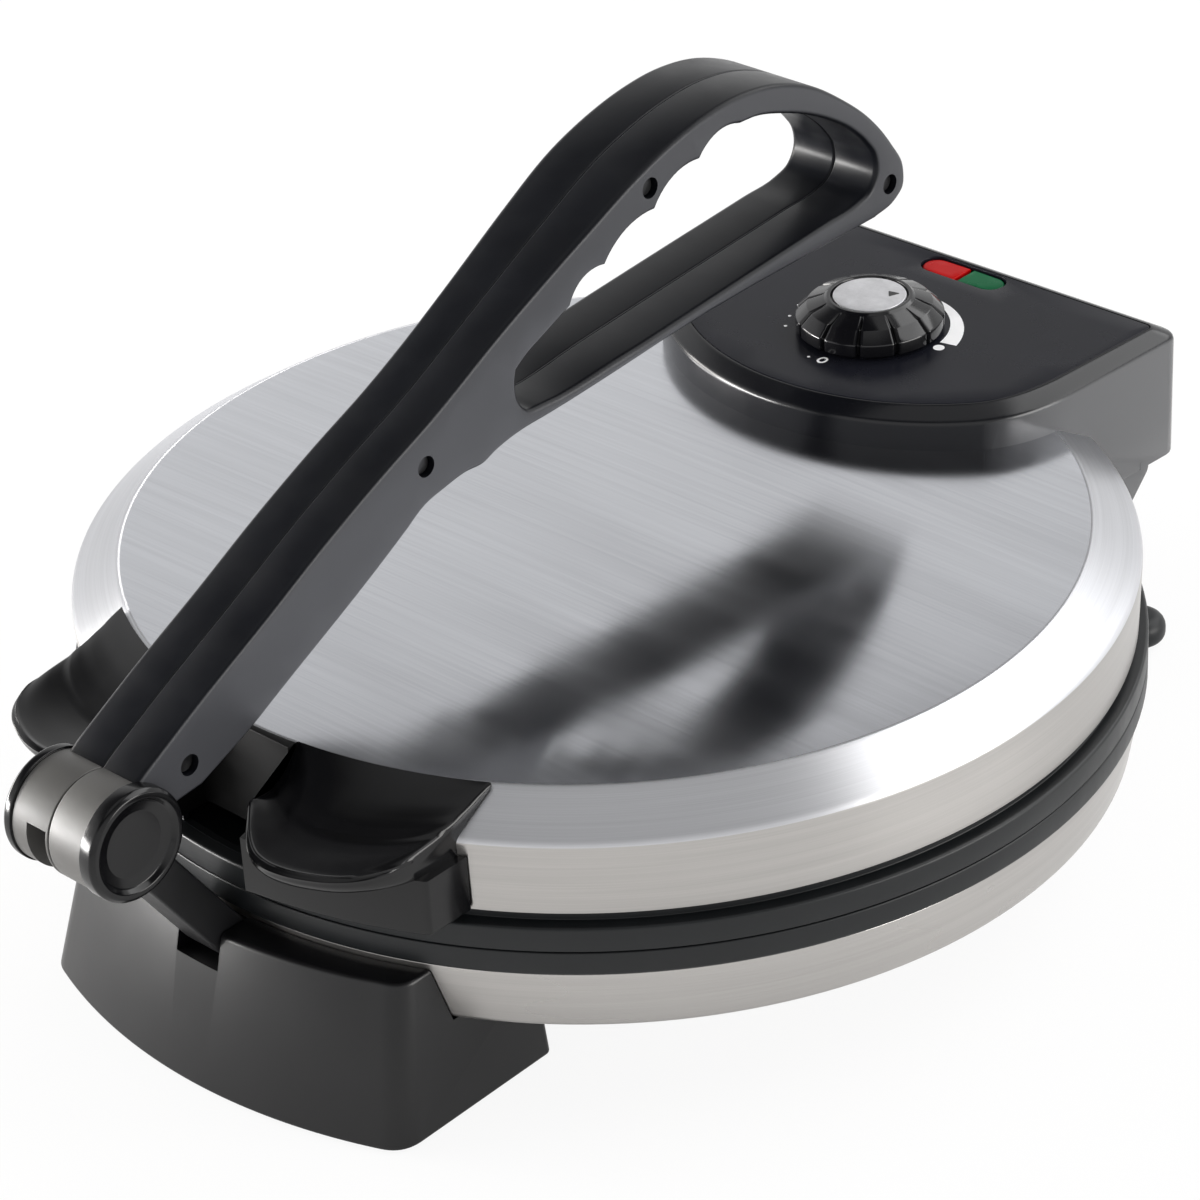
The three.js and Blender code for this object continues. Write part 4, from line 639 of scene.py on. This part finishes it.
# The band ends below the shoulder, and the bevel lies above that and outside the crown's edge. The band's steel has
# a warmer tone, a painted reflection of a warm surface.
BEVEL_FOOT = SHOULDER - 0.8
BEVEL_INSIDE = CROWN_RADIUS - 0.9
lid = piece("lid_steel", lid_steel(), "lid", lid_brushed, ("upper_shell",))
second_finish(lid, band_brushed_painted_reflection, lambda x, y, z: z < BEVEL_FOOT)
second_finish(lid, bevel_brushed, lambda x, y, z: (np.hypot(x, y) > BEVEL_INSIDE) & (z > BEVEL_FOOT))
piece("pan_steel", pan_steel(), "base", pan_brushed, ("lower_shell",))
finished("base_ring", base_ring(), "base", ring_black)
finished("lid_ring", lid_ring(), "lid", ring_black)


# Front foot

FOOT_FLOOR = 1.0
FOOT_HEIGHT = 44.4
FOOT_BACK = -102.0
FOOT_NARROWS = 61.8 / 68.5
FOOT_LEAN = 11.7


def leaning_foot(part):
    """A plate over the foot's plan leans in as it rises. At a share of the height, x is multiplied by
    1 - (1 - narrows) * share, and y moves back by lean * share in front and by nothing at the back edge."""
    x, y, z = part[0].T
    share = (z - FOOT_FLOOR) / FOOT_HEIGHT
    forward = np.clip((FOOT_BACK - y) / 60, 0, 1)
    return np.stack([x * (1 - (1 - FOOT_NARROWS) * share), y + FOOT_LEAN * share * forward, z], 1), part[1]


def foot_hollow():
    """The hollow under the foot: a plan within its walls, leaning as the foot does."""
    plan = tidy_loop(chain(front_arc(169, 16.2, 20), [(47.5, -105.5), (-47.5, -105.5)]))
    return leaning_foot(slab(plan, -3, 24.4))


def front_foot():
    """A leaning plate whose plan has a round front, corners that are quadratic curves and small rounds at the
    back. The pan's room, the link's notch and the hollow are cut from it."""
    front = front_arc(172.5, 21.1, 40)
    corner = bent(front[-1], (68.3, -158.6), (68.5, -152), 10)[1:]
    back = arc((66.5, FOOT_BACK - 2), 2, 0, 90, 4)
    right = chain(corner, back)
    plan = chain(front, right, right[::-1] * FLIP)
    body = leaning_foot(slab(plan, FOOT_FLOOR, FOOT_FLOOR + FOOT_HEIGHT, (1, 1.3), 8))
    pan_room = turned(np.array([
        (0, BASE_FLOOR - GAP), (PAN_FLOOR_RADIUS + GAP, BASE_FLOOR - GAP), (PAN_RADIUS + GAP, RING_FOOT - GAP),
        (153, RING_FOOT), (153, 60), (0, 60)]), 160)
    notch = slab(oblong(-7.9, -190, 7.9, -90), 34.9, 60)
    return carved(body, (pan_room, notch, foot_hollow()))


finished("front_foot", front_foot(), "base", foot_black)


# Front grip

EAR_INNER = 17.7
EAR_OUTER = 70.0
EAR_SOFT = 0.8
EAR_ROWS = 44
CHANNEL_HALF = 17.5
GRIP_FOOT = 65.4
LIP_PLACES = [
    (17.7, -153), (18.6, -155.6), (20.4, -157.6), (23.5, -160.8), (27.5, -164.9), (32, -168.8), (37, -171.8),
    (42.5, -172.9), (48, -172.3), (54, -170.3), (61, -166.4), (66, -161.3), (69, -155.4), (70, -149)]
EAR_TOP = [(0, 97.1), (0.12, 94.6), (0.3, 91.2), (0.5, 88.9), (0.7, 87.9), (0.88, 88.1), (0.97, 88.7)]
EAR_NOSE = [(0.97, 88.7), (0.995, 88.4), (1, 87.4), (0.985, 85.4), (0.95, 83.8), (0.85, 82.2), (0.72, 81)]
EAR_UNDER = [(0.66, 79.6), (0.4, 79.6), (0.385, 86.9), (0.3, 89.4), (0, 95)]


def lip_line(x):
    """The lip's y over x: a smooth curve through the lip's places, with a rounded nose beside the channel and a
    rounded outer corner."""
    curve = flowing(LIP_PLACES, 8)
    return np.interp(x, curve[:, 0], curve[:, 1])


def ear():
    """An ear as a closed loop of (share from crest to lip, height) carried along X. Its y at x runs from the
    crest's circle to the lip line. Outwards the middle of its top rises by up to 3 mm, as the square of the way
    from x = 40 to 70, and the crest falls by up to 0.7 mm, as the square of the way from x = 0 to 70. At both
    ends the loop draws in over a quarter circle."""
    top = flowing(EAR_TOP, 4)
    loop = chain(top, flowing(EAR_NOSE, 3)[1:], EAR_UNDER)
    turn = np.linspace(0, np.pi / 2, 5)
    run, draws = EAR_SOFT * (1 - np.sin(turn)), EAR_SOFT * (1 - np.cos(turn))
    across = chain(
        EAR_INNER + run[::-1], np.linspace(EAR_INNER + 1.2, EAR_OUTER - 1.2, EAR_ROWS), EAR_OUTER - run)
    shrink = chain(draws[::-1], np.zeros(EAR_ROWS), draws)[:, None, None]
    x, share = across[:, None], loop[:, 0]
    crest = -np.sqrt(CREST_RADIUS**2 - x**2)
    y = crest + (lip_line(x) - crest) * share
    is_top = np.arange(len(loop)) < len(top)
    rise = 3 * np.clip((x - 40) / 30, 0, 1) ** 2 * np.sin(np.pi * np.clip(share, 0, 1)) ** 0.8
    fall = 0.7 * np.clip(x / 70, 0, 1) ** 2 * (1 - share)
    z = loop[:, 1] + rise * is_top - fall * is_top
    section = inset(np.stack([y, z], -1), shrink)
    rows = np.concatenate([np.broadcast_to(x[..., None], (*y.shape, 1)), section], -1)
    caps = [(row, [list(range(len(row)))]) for row in (rows[0], rows[-1])]
    return joined([grid(rows), *caps])


def grip_block():
    """The block under an ear: a plan between two circles, with one rounded corner, raised between two heights."""
    steps = 24
    outer = arc((0, 0), 163, 270 + 7.4, 270 + 26.4, steps)
    inner = arc((0, 0), 150.3, 270 + 28.84, 270 + 6.7, steps)
    plan = chain(outer, inner)
    radii = np.where(np.arange(len(plan)) == steps, 1.4, 0)
    return slab(rounded(plan, radii), GRIP_FOOT, 82, (0.6, 0), 8)


def front_grip():
    """Two halves, each an ear, its block and the channel's wall, joined by the liner behind the lever's root."""
    wall = slab(oblong(CHANNEL_HALF, -152.5, 19.2, -136.6), GRIP_FOOT, 86, (0, 0.3), 8)
    half = part_of(carved(grip_block(), additions=(ear(), wall)))
    rear = front_arc(137.6, 7.3, 12)[::-1]
    liner = slab(chain([(-CHANNEL_HALF, -139.6), (CHANNEL_HALF, -139.6)], rear), 66, 96.7, (0, 0.4), 8)
    return joined([half, mirrored(half), liner])


# The channel's inside lies between its walls and behind the ears' noses. It gets a darker, duller plastic, painted
# shade for the shadowed channel.
grip = finished("front_grip", front_grip(), "lid", grip_black)
second_finish(grip, channel_painted_shade, lambda x, y, z: (np.abs(x) < 18.4) & (y > -152.6))


# Control housing

HOUSING_CENTRE = 151.0
SHAFT_ROOM = 4.6
LIGHT_Y = 159.5
LIGHT_HALF = 5.0
LIGHT_LEFT = -12.5
LIGHT_RIGHT = 17.5


def housing_plan(draw, corner=0.0):
    """The housing's plan drawn in by a distance: a front arc of 90 degrees, quadratic curves that turn it into
    sides that widen to the rear, and a straight rear edge, whose corners may be rounded."""
    radius, half, wide, rear = 84 - draw, 70 - draw, 74.5 - draw, 171.5 - draw
    join = radius * np.sin(np.pi / 4)
    join_y = HOUSING_CENTRE - radius * np.cos(np.pi / 4)
    corner_y = join_y + (half - join)
    slope = (wide - half) / (rear - corner_y)
    bend = bent((join, join_y), (half, corner_y), (half + slope * 20, corner_y + 20), 12)
    right = chain(arc((0, HOUSING_CENTRE), radius, 270, 315, 24)[1:-1], bend, [(wide, rear)])
    plan = chain(right[::-1] * FLIP, [(0, HOUSING_CENTRE - radius)], right)
    if not corner:
        return plan
    radii = np.zeros(len(plan))
    radii[[0, -1]] = corner
    return rounded(plan, radii, 5)


def housing_body():
    """Rows of the plan stacked from its underside to the panel's edge, drawn in at the bevel, with flat ends."""
    levels = [(0.5, 66.4), (0.15, 66.55), (0, 66.9), (0, 80), (0, 103.6), (0.1, 104.3), (0.45, 104.95),
              (1.1, 105.5), (3.6, 107), (4.6, 107.55), (5.3, 107.85), (5.9, PANEL_HEIGHT)]
    rows = [at_depth(housing_plan(draw, 5.5 - draw * 0.3), height) for draw, height in levels]
    ends = [filled(row[:, :2], (), row[0, 2], 9) for row in (rows[0], rows[-1])]
    return joined([grid(np.stack(rows)), *ends])


def cheek(side):
    """A tab that hangs below the housing's side, its lower rear corner slanted off."""
    outline = rounded(
        [(139.6, 54.3), (149.6, 54.3), (159.6, 63.9), (159.6, 72), (139.6, 72)], [0.8, 3, 4, 0, 0])
    return on_side(to_side(slab(outline, 63, 72.3, (0.8, 0.8))), side)


def hinge_arm(side):
    """An arm down to the hinge pin: straight sides that end in a half circle about the pin."""
    half, top = 7, 70
    outline = chain(arc(HINGE, half, 180, 360, 24), [(HINGE[0] + half, top), (HINGE[0] - half, top)])
    return on_side(to_side(slab(outline, 30, 45.4, (0.6, 0.6))), side)


def lid_room(clearance):
    """The lid's outer surface moved out by a clearance, closed far below, for cutting what sits on the lid."""
    outside = sheet_line(0)
    wall = inset(chain(outside, [(BAND_RADIUS, 40), (0, 40)]), -clearance)[1:len(outside)]
    edge, top, foot = RING_RADIUS + 0.9, 62.5, 45
    below = [(wall[-1, 0], top), (edge, top), (edge, foot), (0, foot)]
    return turned(chain([(0, wall[0, 1])], wall, below), 200)


def light_outline(left, right, round_left=True, round_right=True, clearance=0.0):
    """A bar along X whose ends are half circles or square, drawn in by a clearance."""
    half = LIGHT_HALF - clearance
    ends = []
    for x, way, is_round in ((right - clearance, 1, round_right), (left + clearance, -1, round_left)):
        if is_round:
            ends.append(arc((x - way * half, LIGHT_Y), half, -90 * way, 180 - 90 * way, 16))
        else:
            ends.append(np.array([(x, LIGHT_Y - way * half), (x, LIGHT_Y + way * half)]))
    return tidy_loop(np.concatenate(ends))


def control_housing():
    """The body is hollowed and joined with its rear floor, cheeks and hinge arms. The lid's room, the panel's
    pocket, the lights' slot, the shaft's hole and the hinge pin's bore are cut from the whole."""
    hollow = slab(housing_plan(2.5), 50, 103.4, spacing=12)
    rear_floor = slab(
        np.array([(-73.4, 153.4), (73.4, 153.4), (73.6, 165), (70, 169.6), (-70, 169.6), (-73.6, 165)]),
        66.6, 69, spacing=12)
    pocket = slab(housing_plan(6, 2), 106, 112, spacing=10)
    lights = slab(light_outline(LIGHT_LEFT, LIGHT_RIGHT), 96, 112)
    shaft = slab(ring(DIAL, SHAFT_ROOM, 40), 92, 112)
    bore = to_side(slab(ring(HINGE, PIN_BORE, 32), -60, 60))
    return carved(
        housing_body(), (lid_room(GAP), pocket, lights, shaft, bore),
        (rear_floor, cheek(1), cheek(-1), hinge_arm(1), hinge_arm(-1)), (hollow,))


def control_panel():
    """The inset panel: the housing's plan drawn in, less the lights' slot and the shaft's hole."""
    holes = (light_outline(LIGHT_LEFT, LIGHT_RIGHT), ring(DIAL, SHAFT_ROOM, 40))
    return slab(housing_plan(6.25, 2), 106.3, PANEL_HEIGHT, (0, 0.35), 8, holes)


def lens(left, right, is_left):
    """Half of the lights' bar, rounded over at its rim."""
    return slab(light_outline(left, right, is_left, not is_left, 0.4), 101.4, 107.3, (0, 0.9), 3)


finished("control_housing", control_housing(), "lid", housing_black)
finished("control_panel", control_panel(), "lid", panel_slate)
finished("power_lens", lens(LIGHT_LEFT, 2.3, True), "lid", lens_red)
finished("ready_lens", lens(2.7, LIGHT_RIGHT, False), "lid", lens_green)


# Knob and dial

PRINT_RAISED = 0.05
DOTS = [
    ((-26, -1.8), 0.5), ((-23.6, -8.8), 0.5), ((-20.4, -14.5), 0.5), ((24.3, 1.9), 1.7), ((-2.4, -25.4), 0.45)]
NOUGHT = (2.2, -24.6)
CRESCENT_RADIUS = 25.6
GROOVES = 12


def dial_print():
    """Dots, a plain nought and a crescent, raised a hair above the panel. The crescent runs from 92 to 12
    degrees, and half its width is 0.25 + 2.4 * share^0.8 at a share of the way."""
    marks = [(ring(DIAL + place, radius, 24), ()) for place, radius in DOTS]
    circle, nought = ring((0, 0), 1, 32), DIAL + NOUGHT
    marks.append((circle * [1.5, 1.9] + nought, (circle * [0.85, 1.2] + nought,)))
    angle = np.radians(np.linspace(92, 12, 40))
    half = (0.25 + 2.4 * np.linspace(0, 1, 40) ** 0.8)[:, None]
    way = np.stack([np.cos(angle), np.sin(angle)], 1)
    outer, inner = DIAL + way * (CRESCENT_RADIUS + half), DIAL + way * (CRESCENT_RADIUS - half)
    marks.append((chain(outer, inner[::-1]), ()))
    return joined([
        slab(outline, PANEL_HEIGHT - PRINT_RAISED, PANEL_HEIGHT + PRINT_RAISED, spacing=2, holes=holes)
        for outline, holes in marks])


def knob():
    """The radius is the profile's, less a groove's depth near each of twelve equal angles. The groove's depth
    falls off as a smooth bell from its middle, exp(-(phase / 0.055)^3), and reaches from the skirt up over the
    shoulder, where it lowers the height too."""
    profile = from_axis(rounded(
        [(0, 108.6), (21.4, 108.6), (22, 109.3), (22, 112.9), (18.6, 116.2), (13.4, 118.2), (12.6, 118.9),
         (11.6, 118.9), (11.2, 117.5), (0, 117.5)],
        [0, 0.3, 0.3, 0.8, 0.8, 0.5, 0.4, 0.3, 0.1, 0]), 110)
    radius, height = profile.T[..., None]
    facets = 480
    angle = np.arange(facets) / facets * FULL_TURN
    phase = (angle * GROOVES / FULL_TURN + 0.5) % 1 - 0.5
    groove = np.exp(-((np.abs(phase) / 0.055) ** 3))
    weight = np.clip((radius - 13.6) / 3, 0, 1) * np.clip(118.3 - height, 0, 1)
    radius = radius - 1.3 * weight * groove
    lowered = height - 0.5 * weight * groove * (height > 112.5)
    return moved(grid(np.stack([radius * np.cos(angle), radius * np.sin(angle), lowered], -1)), (*DIAL, 0))


def knob_cap():
    """A disc in the knob's top, rounded over at its rim."""
    return moved(slab(ring((0, 0), 10.9, 96), 117.6, 118.75, (0, 0.3), 4), (*DIAL, 0))


def pointer():
    """A small triangle printed near the cap's rim, towards the dial's angle at rest."""
    tip = np.radians(40)
    way = np.array([np.cos(tip), np.sin(tip)])
    side = np.array([-way[1], way[0]])
    points = DIAL + np.array([way * 9, way * 5.6 + side * 1.8, way * 5.6 - side * 1.8])
    return slab(rounded(points, 0.25, 3), 118.7, 118.8)


piece("dial_print", dial_print(), "lid", print_white)
finished("control_knob", knob(), "knob", knob_black, sharp=28)
finished("knob_cap", knob_cap(), "knob", cap_silver)
piece("knob_pointer", pointer(), "knob", pointer_dark)


# Link

LINK_HALF = 5.5


def link():
    """A shank with a half circle about the foot's pin, and a tongue from its head round the lever's pin, both
    carried along X, with a bore for each pin."""
    span = LEVER_PIN - FOOT_PIN
    way, length = unit(span), np.linalg.norm(span)
    side = LINK_HALF * np.array([way[1], -way[0]])
    turn = np.degrees(np.arctan2(way[1], way[0]))
    head, root = (FOOT_PIN + way * (length - short) for short in (16.4, 21.4))
    toe = arc(FOOT_PIN, LINK_HALF, turn + 90, turn + 270, 16)
    shank = slab(chain(toe, [head + side, head - side]), -7.3, 7.3, (0.7, 0.7), 5)
    eye = arc(LEVER_PIN, 8.5, turn - 130, turn + 130, 32)
    tongue = slab(chain(eye, [root - side, root + side]), -7.6, -1.6, (0.5, 0.5), 5)
    bores = [to_side(slab(ring(pin, radius, 32), -20, 20))
             for pin, radius in ((FOOT_PIN, LINK_BORE), (LEVER_PIN, PIN_BORE))]
    return carved(to_side(shank), bores, (to_side(tongue),))


finished("front_link", link(), "link", link_black)


# Lever

LEVER_TOP = [
    (302.2, 60.6), (306.2, 63.8), (306.6, 70.3), (301.4, 79.4), (293, 89.6), (280.6, 100.2), (265.5, 110),
    (251.3, 115.4), (237.2, 117.4), (222.7, 116.6), (208.8, 113.9), (194, 109.2), (175, 100.3), (148.4, 86.7),
    (115.3, 69.7), (97.4, 62), (74.6, 51.2), (52.8, 39.7), (28.2, 27.2), (8.1, 16.2)]
LEVER_UNDER = [
    (26, 3), (46.2, 11.6), (53.3, 15.3), (92.3, 35.1), (104, 41.6), (111.1, 45.7), (119, 47.5), (126.4, 48.6),
    (133.5, 48.4), (138, 50), (146, 51.8), (158.3, 52.8), (202.6, 57.2), (293.1, 58.7)]
LOOP_LOW = [
    (147.6, 70.6), (146.9, 66.5), (147.8, 61), (150.4, 57.6), (156, 57), (185, 59.2), (230, 62.5), (272, 65.4),
    (285.7, 66.4), (291.3, 68.4), (293.9, 72.4), (293.5, 78), (290, 83.2), (284.5, 88.8), (271.1, 98),
    (255.1, 105.2), (243, 108.6), (236.8, 109)]
LOOP_CUSPS = np.array([(236.8, 109.0), (219.6, 104.9), (201, 97.2), (181.3, 88.4), (168, 81.3)])
LOOP_CLOSE = [(168, 81.3), (157.5, 76.2), (151.5, 73.3), (147.6, 70.6)]
LEVER_SCREWS = [(22.5, 11), (112.2, 57.1), (199.1, 104.4), (299.6, 67.2)]
BARREL_RADIUS = 15.0
FLARE_START = 131.0
FLARE_RUN = 70.0


def scallop(start, end, rise=2.9, steps=10):
    """A finger's hollow between two cusps: a parabola over the chord, its middle off it by the rise."""
    way = unit(end - start)
    share = np.linspace(0, 1, steps + 1)[:-1, None]
    return start + (end - start) * share + 4 * share * (1 - share) * rise * np.array([way[1], -way[0]])


def lever_outline():
    """The lever's side outline: its underside out to the tip, round it and back along the top."""
    under = flowing(LEVER_UNDER, 5)
    tail = flowing([LEVER_UNDER[-1], *LEVER_TOP], 6)
    return tidy_loop(chain([(2, 1)], under, tail[1:], [(2, 12)]), 0.3)


def loop_outline():
    """The loop's hole: its low edge and rear as a smooth curve, a scallop for each finger, and a closing curve."""
    fingers = [scallop(start, end) for start, end in zip(LOOP_CUSPS[:-1], LOOP_CUSPS[1:])]
    return tidy_loop(chain(flowing(LOOP_LOW, 5)[:-1], *fingers, flowing(LOOP_CLOSE, 4)), 0.3)


def flared(part):
    """The lever's half width grows from 13 to 16 over the flare's run, as a smooth step: 3 share^2 - 2 share^3."""
    x, y, z = part[0].T
    share = np.clip((y - FLARE_START) / FLARE_RUN, 0, 1)
    wide = 1 + (3 / 13) * share * share * (3 - 2 * share)
    return np.stack([x * wide, y, z], 1), part[1]


def lever_half(side):
    """Half of the lever, from its seam outward: the flared arm with the loop's hole, joined with half the barrel
    and bored for the pin. The right half has the screws' pits. The left half has a slot for the link's tongue,
    a round room about the pin and a fan below it that the link turns in."""
    pits = [(np.array(place), 3, 3.6) for place in LEVER_SCREWS] if side > 0 else ()
    arm = flared(to_side(slab(lever_outline(), 0.15, 13, (0.45, 1.5), 7, (loop_outline(),), pits)))
    barrel = to_side(slab(ring((0, 0), BARREL_RADIUS, 120), 0.15, 13.6, (0.35, 0), 5))
    cutters = [to_side(slab(ring((0, 0), PIN_BORE, 32), -1, 20))]
    if side < 0:
        fan = chain([(0, 0)], arc((0, 0), 30, -14, -197, 48))[::-1]
        cutters += [to_side(slab(room, 1, 8.2, spacing=8)) for room in (fan, ring((0, 0), 9.1, 64))]
    arm, barrel, *cutters = (moved(on_side(shape, side), (0, *LEVER_PIN)) for shape in (arm, barrel, *cutters))
    return carved(arm, cutters, (barrel,))


def barrel_cap(side):
    """A disc with a rolled rim and a dished middle, turned about the lever's pin. Its rim laps over the barrel."""
    lap = 1.9 if side > 0 else 0.2
    profile = rounded(
        [(0, 13.9), (15.05, 13.9), (15.05, 14.3 - lap), (15.6, 13.9 - lap), (15.6, 16.2), (14.5, 17.2),
         (13, 17.2), (11.9, 15.9), (9, 15.3), (0, 15.3)],
        [0, 0.1, 0.1, 0.25, 1.2, 0.9, 0.7, 0.9, 2, 0], 5)
    return on_side(moved(to_side(turned(from_axis(profile, 14.4), 120)), (0, *LEVER_PIN)), side)


# The barrel's faces lie within its own radius of the lever's pin. They get a lighter grey plastic than the lever's,
# a painted sheen for the floor mirrored in it.
HANDS = (("left", -1), ("right", 1))
BARREL_REACH = BARREL_RADIUS + 0.05
for hand, side in HANDS:
    half = finished(f"lever_{hand}", lever_half(side), "lever", lever_grey, 30)
    second_finish(half, barrel_painted_sheen, lambda x, y, z: np.hypot(y - LEVER_PIN[0], z - LEVER_PIN[1]) < BARREL_REACH)
for hand, side in HANDS:
    finished(f"barrel_cap_{hand}", barrel_cap(side), "lever", grip_black)


# Rear foot

REAR_WAIST = 63.0
TOE_PLACE = (67.2, 162.8)
TOE_RADIUS = 8.4
TOE_FOOT = 1.0
TOE_HEAD = 10.0


def rear_foot():
    """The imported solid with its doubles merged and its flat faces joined. Its sides are trimmed beside its waist,
    and two toes, discs with rounded edges, are joined to it."""
    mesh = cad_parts["rear_foot"].data.copy()
    work = bmesh.new()
    work.from_mesh(mesh)
    bmesh.ops.remove_doubles(work, verts=work.verts, dist=2e-6)
    bmesh.ops.dissolve_limit(work, angle_limit=np.radians(0.6), verts=work.verts, edges=work.edges)
    work.to_mesh(mesh)
    work.free()
    beside = slab(oblong(REAR_WAIST, 100, 90, 185), -2, 43, spacing=40)
    edge = rounded(
        [(0, TOE_FOOT), (TOE_RADIUS, TOE_FOOT), (TOE_RADIUS, TOE_HEAD), (0, TOE_HEAD)], [0, 3.4, 4.2, 0], 6)
    toe = moved(turned(edge, 48), (*TOE_PLACE, 0))
    return carved(part_of(mesh), hollows=(beside, mirrored(beside)), additions=(toe, mirrored(toe)))


foot = finished("rear_foot", rear_foot(), "base", ring_black)
rounding = foot.modifiers.new("rounded edges", "BEVEL")
rounding.width = 0.8 * MILLIMETRE
rounding.segments = 3
rounding.limit_method = "ANGLE"
rounding.angle_limit = np.radians(35)
rounding.harden_normals = True


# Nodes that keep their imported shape, by how their names start

CARRIED = [
    (heater_steel, ("bottom_cover", "lower_heater", "upper_heater", "thermostat")),
    (plate_coat, ("lower_plate", "upper_plate")),
    (pad_rubber, ("cord_gland", "rubber_pad")),
    (pin_steel, ("link_pin", "hinge_pin", "lever_pin", "control_shaft", "cover_screw")),
    (screw_dark, ("lever_screw",)),
    (lamp_glass, ("power_lamp", "ready_lamp")),
]
for node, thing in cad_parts.items():
    for finish, starts in CARRIED:
        if node.startswith(starts):
            thing.data.materials.clear()
            thing.data.materials.append(finish)


# Floor, light and camera, in metres


def glow_share(finish):
    """How much of the floor is its own plain white: most of it for camera rays, and a third for glossy and
    transmission rays, so that mirror images show the white floor with the shadows that lie on it."""
    path = finish.node("LightPath", {})
    share = 0
    for kind, weight in (("Is Camera Ray", 0.9), ("Is Glossy Ray", 0.35), ("Is Transmission Ray", 0.35)):
        part = finish.node("Math", {0: path.outputs[kind], 1: weight}, operation="MULTIPLY").outputs[0]
        share = finish.node("Math", {0: share, 1: part}, operation="MAXIMUM").outputs[0]
    return share


def floor_material():
    """A white floor that shows as plain white and keeps a soft shadow."""
    finish = Finish("floor white", (0.93, 0.93, 0.93), 0.9)
    glow = finish.node("Emission", {}).outputs[0]
    mix = finish.node("MixShader", {0: glow_share(finish), 1: finish.shader.outputs[0], 2: glow})
    finish.tree.links.new(mix.outputs[0], finish.tree.nodes["Material Output"].inputs["Surface"])
    return finish.material


def floor():
    """A square floor, so wide that no view shows its edge."""
    half = 6
    mesh = bpy.data.meshes.new("floor")
    mesh.from_pydata(at_depth(oblong(-half, -half, half, half), 0).tolist(), [], [(0, 1, 2, 3)])
    mesh.materials.append(floor_material())
    thing = placed("floor", mesh)


def lamp(name, place, aim, size, power, colour=(1, 1, 1)):
    """A soft rectangular lamp that faces a point."""
    light = bpy.data.lights.new(name, "AREA")
    light.shape = "RECTANGLE"
    light.size, light.size_y = size
    light.energy = power
    light.color = colour
    thing = placed(name, light)
    thing.location = place
    thing.rotation_euler = (Vector(aim) - Vector(place)).to_track_quat("-Z", "Y").to_euler()


SKY = [(0.22, 1), (0.52, 0.85), (0.73, 0.08), (0.82, 0.08), (0.95, 0.62)]


def sky():
    """A room that is white up to a third of the way overhead, dim above that and lit again straight overhead. Its
    shade is a smooth curve through pairs of (height, shade), where 0 is level and 1 is straight up."""
    world = bpy.data.worlds.new("studio")
    world.use_nodes = True
    tree = world.node_tree
    way = new_node(tree, "TexCoord", {}).outputs["Generated"]
    height = new_node(tree, "SeparateXYZ", {0: way}).outputs[2]
    ramp = new_node(tree, "ValToRGB", {0: height})
    tree.links.new(ramp.outputs[0], tree.nodes["Background"].inputs["Color"])
    ramp.color_ramp.interpolation = "EASE"
    for height, _ in SKY[2:]:
        ramp.color_ramp.elements.new(height)
    for mark, (height, shade) in zip(ramp.color_ramp.elements, SKY):
        mark.position = height
        mark.color = (shade, shade, shade, 1)
    bpy.context.scene.world = world


floor()
sky()
lamp("rear softbox", (0.55, 1.05, 1.2), (0, 0, 0.08), (1.7, 1.1), 16)
lamp("right softbox", (1.6, 0.5, 0.45), (0, 0, 0.08), (1, 0.7), 15, (1, 0.985, 0.96))
lamp("left softbox", (-1.1, -0.5, 0.3), (-0.2, -0.2, 0), (0.7, 0.4), 11, (1, 0.97, 0.93))
lamp("front left softbox", (-0.8, -0.78, 0.11), (-0.03, -0.16, 0.04), (0.6, 0.2), 18, (1, 0.985, 0.97))

# The camera that was fitted to the photo: its place and the directions of its own axes
CAMERA_PLACE = (0.69320955, (REAR_SHIFT - 719.6085487) * MILLIMETRE, 0.66811886)
CAMERA_RIGHT = (0.73759062, 0.67351343, -0.04837084)
CAMERA_UP = (-0.317055, 0.40868413, 0.85583492)
CAMERA_BACK = (0.5961847, -0.61591959, 0.51498238)

camera_data = bpy.data.cameras.new("camera")
camera_data.sensor_width = 36
camera_data.lens = 123.36
camera = placed("camera", camera_data)
pose = Matrix((CAMERA_RIGHT, CAMERA_UP, CAMERA_BACK)).transposed().to_4x4()
pose.translation = Vector(CAMERA_PLACE)
camera.matrix_world = pose
bpy.context.scene.camera = camera
bpy.context.scene.view_settings.view_transform = "Standard"
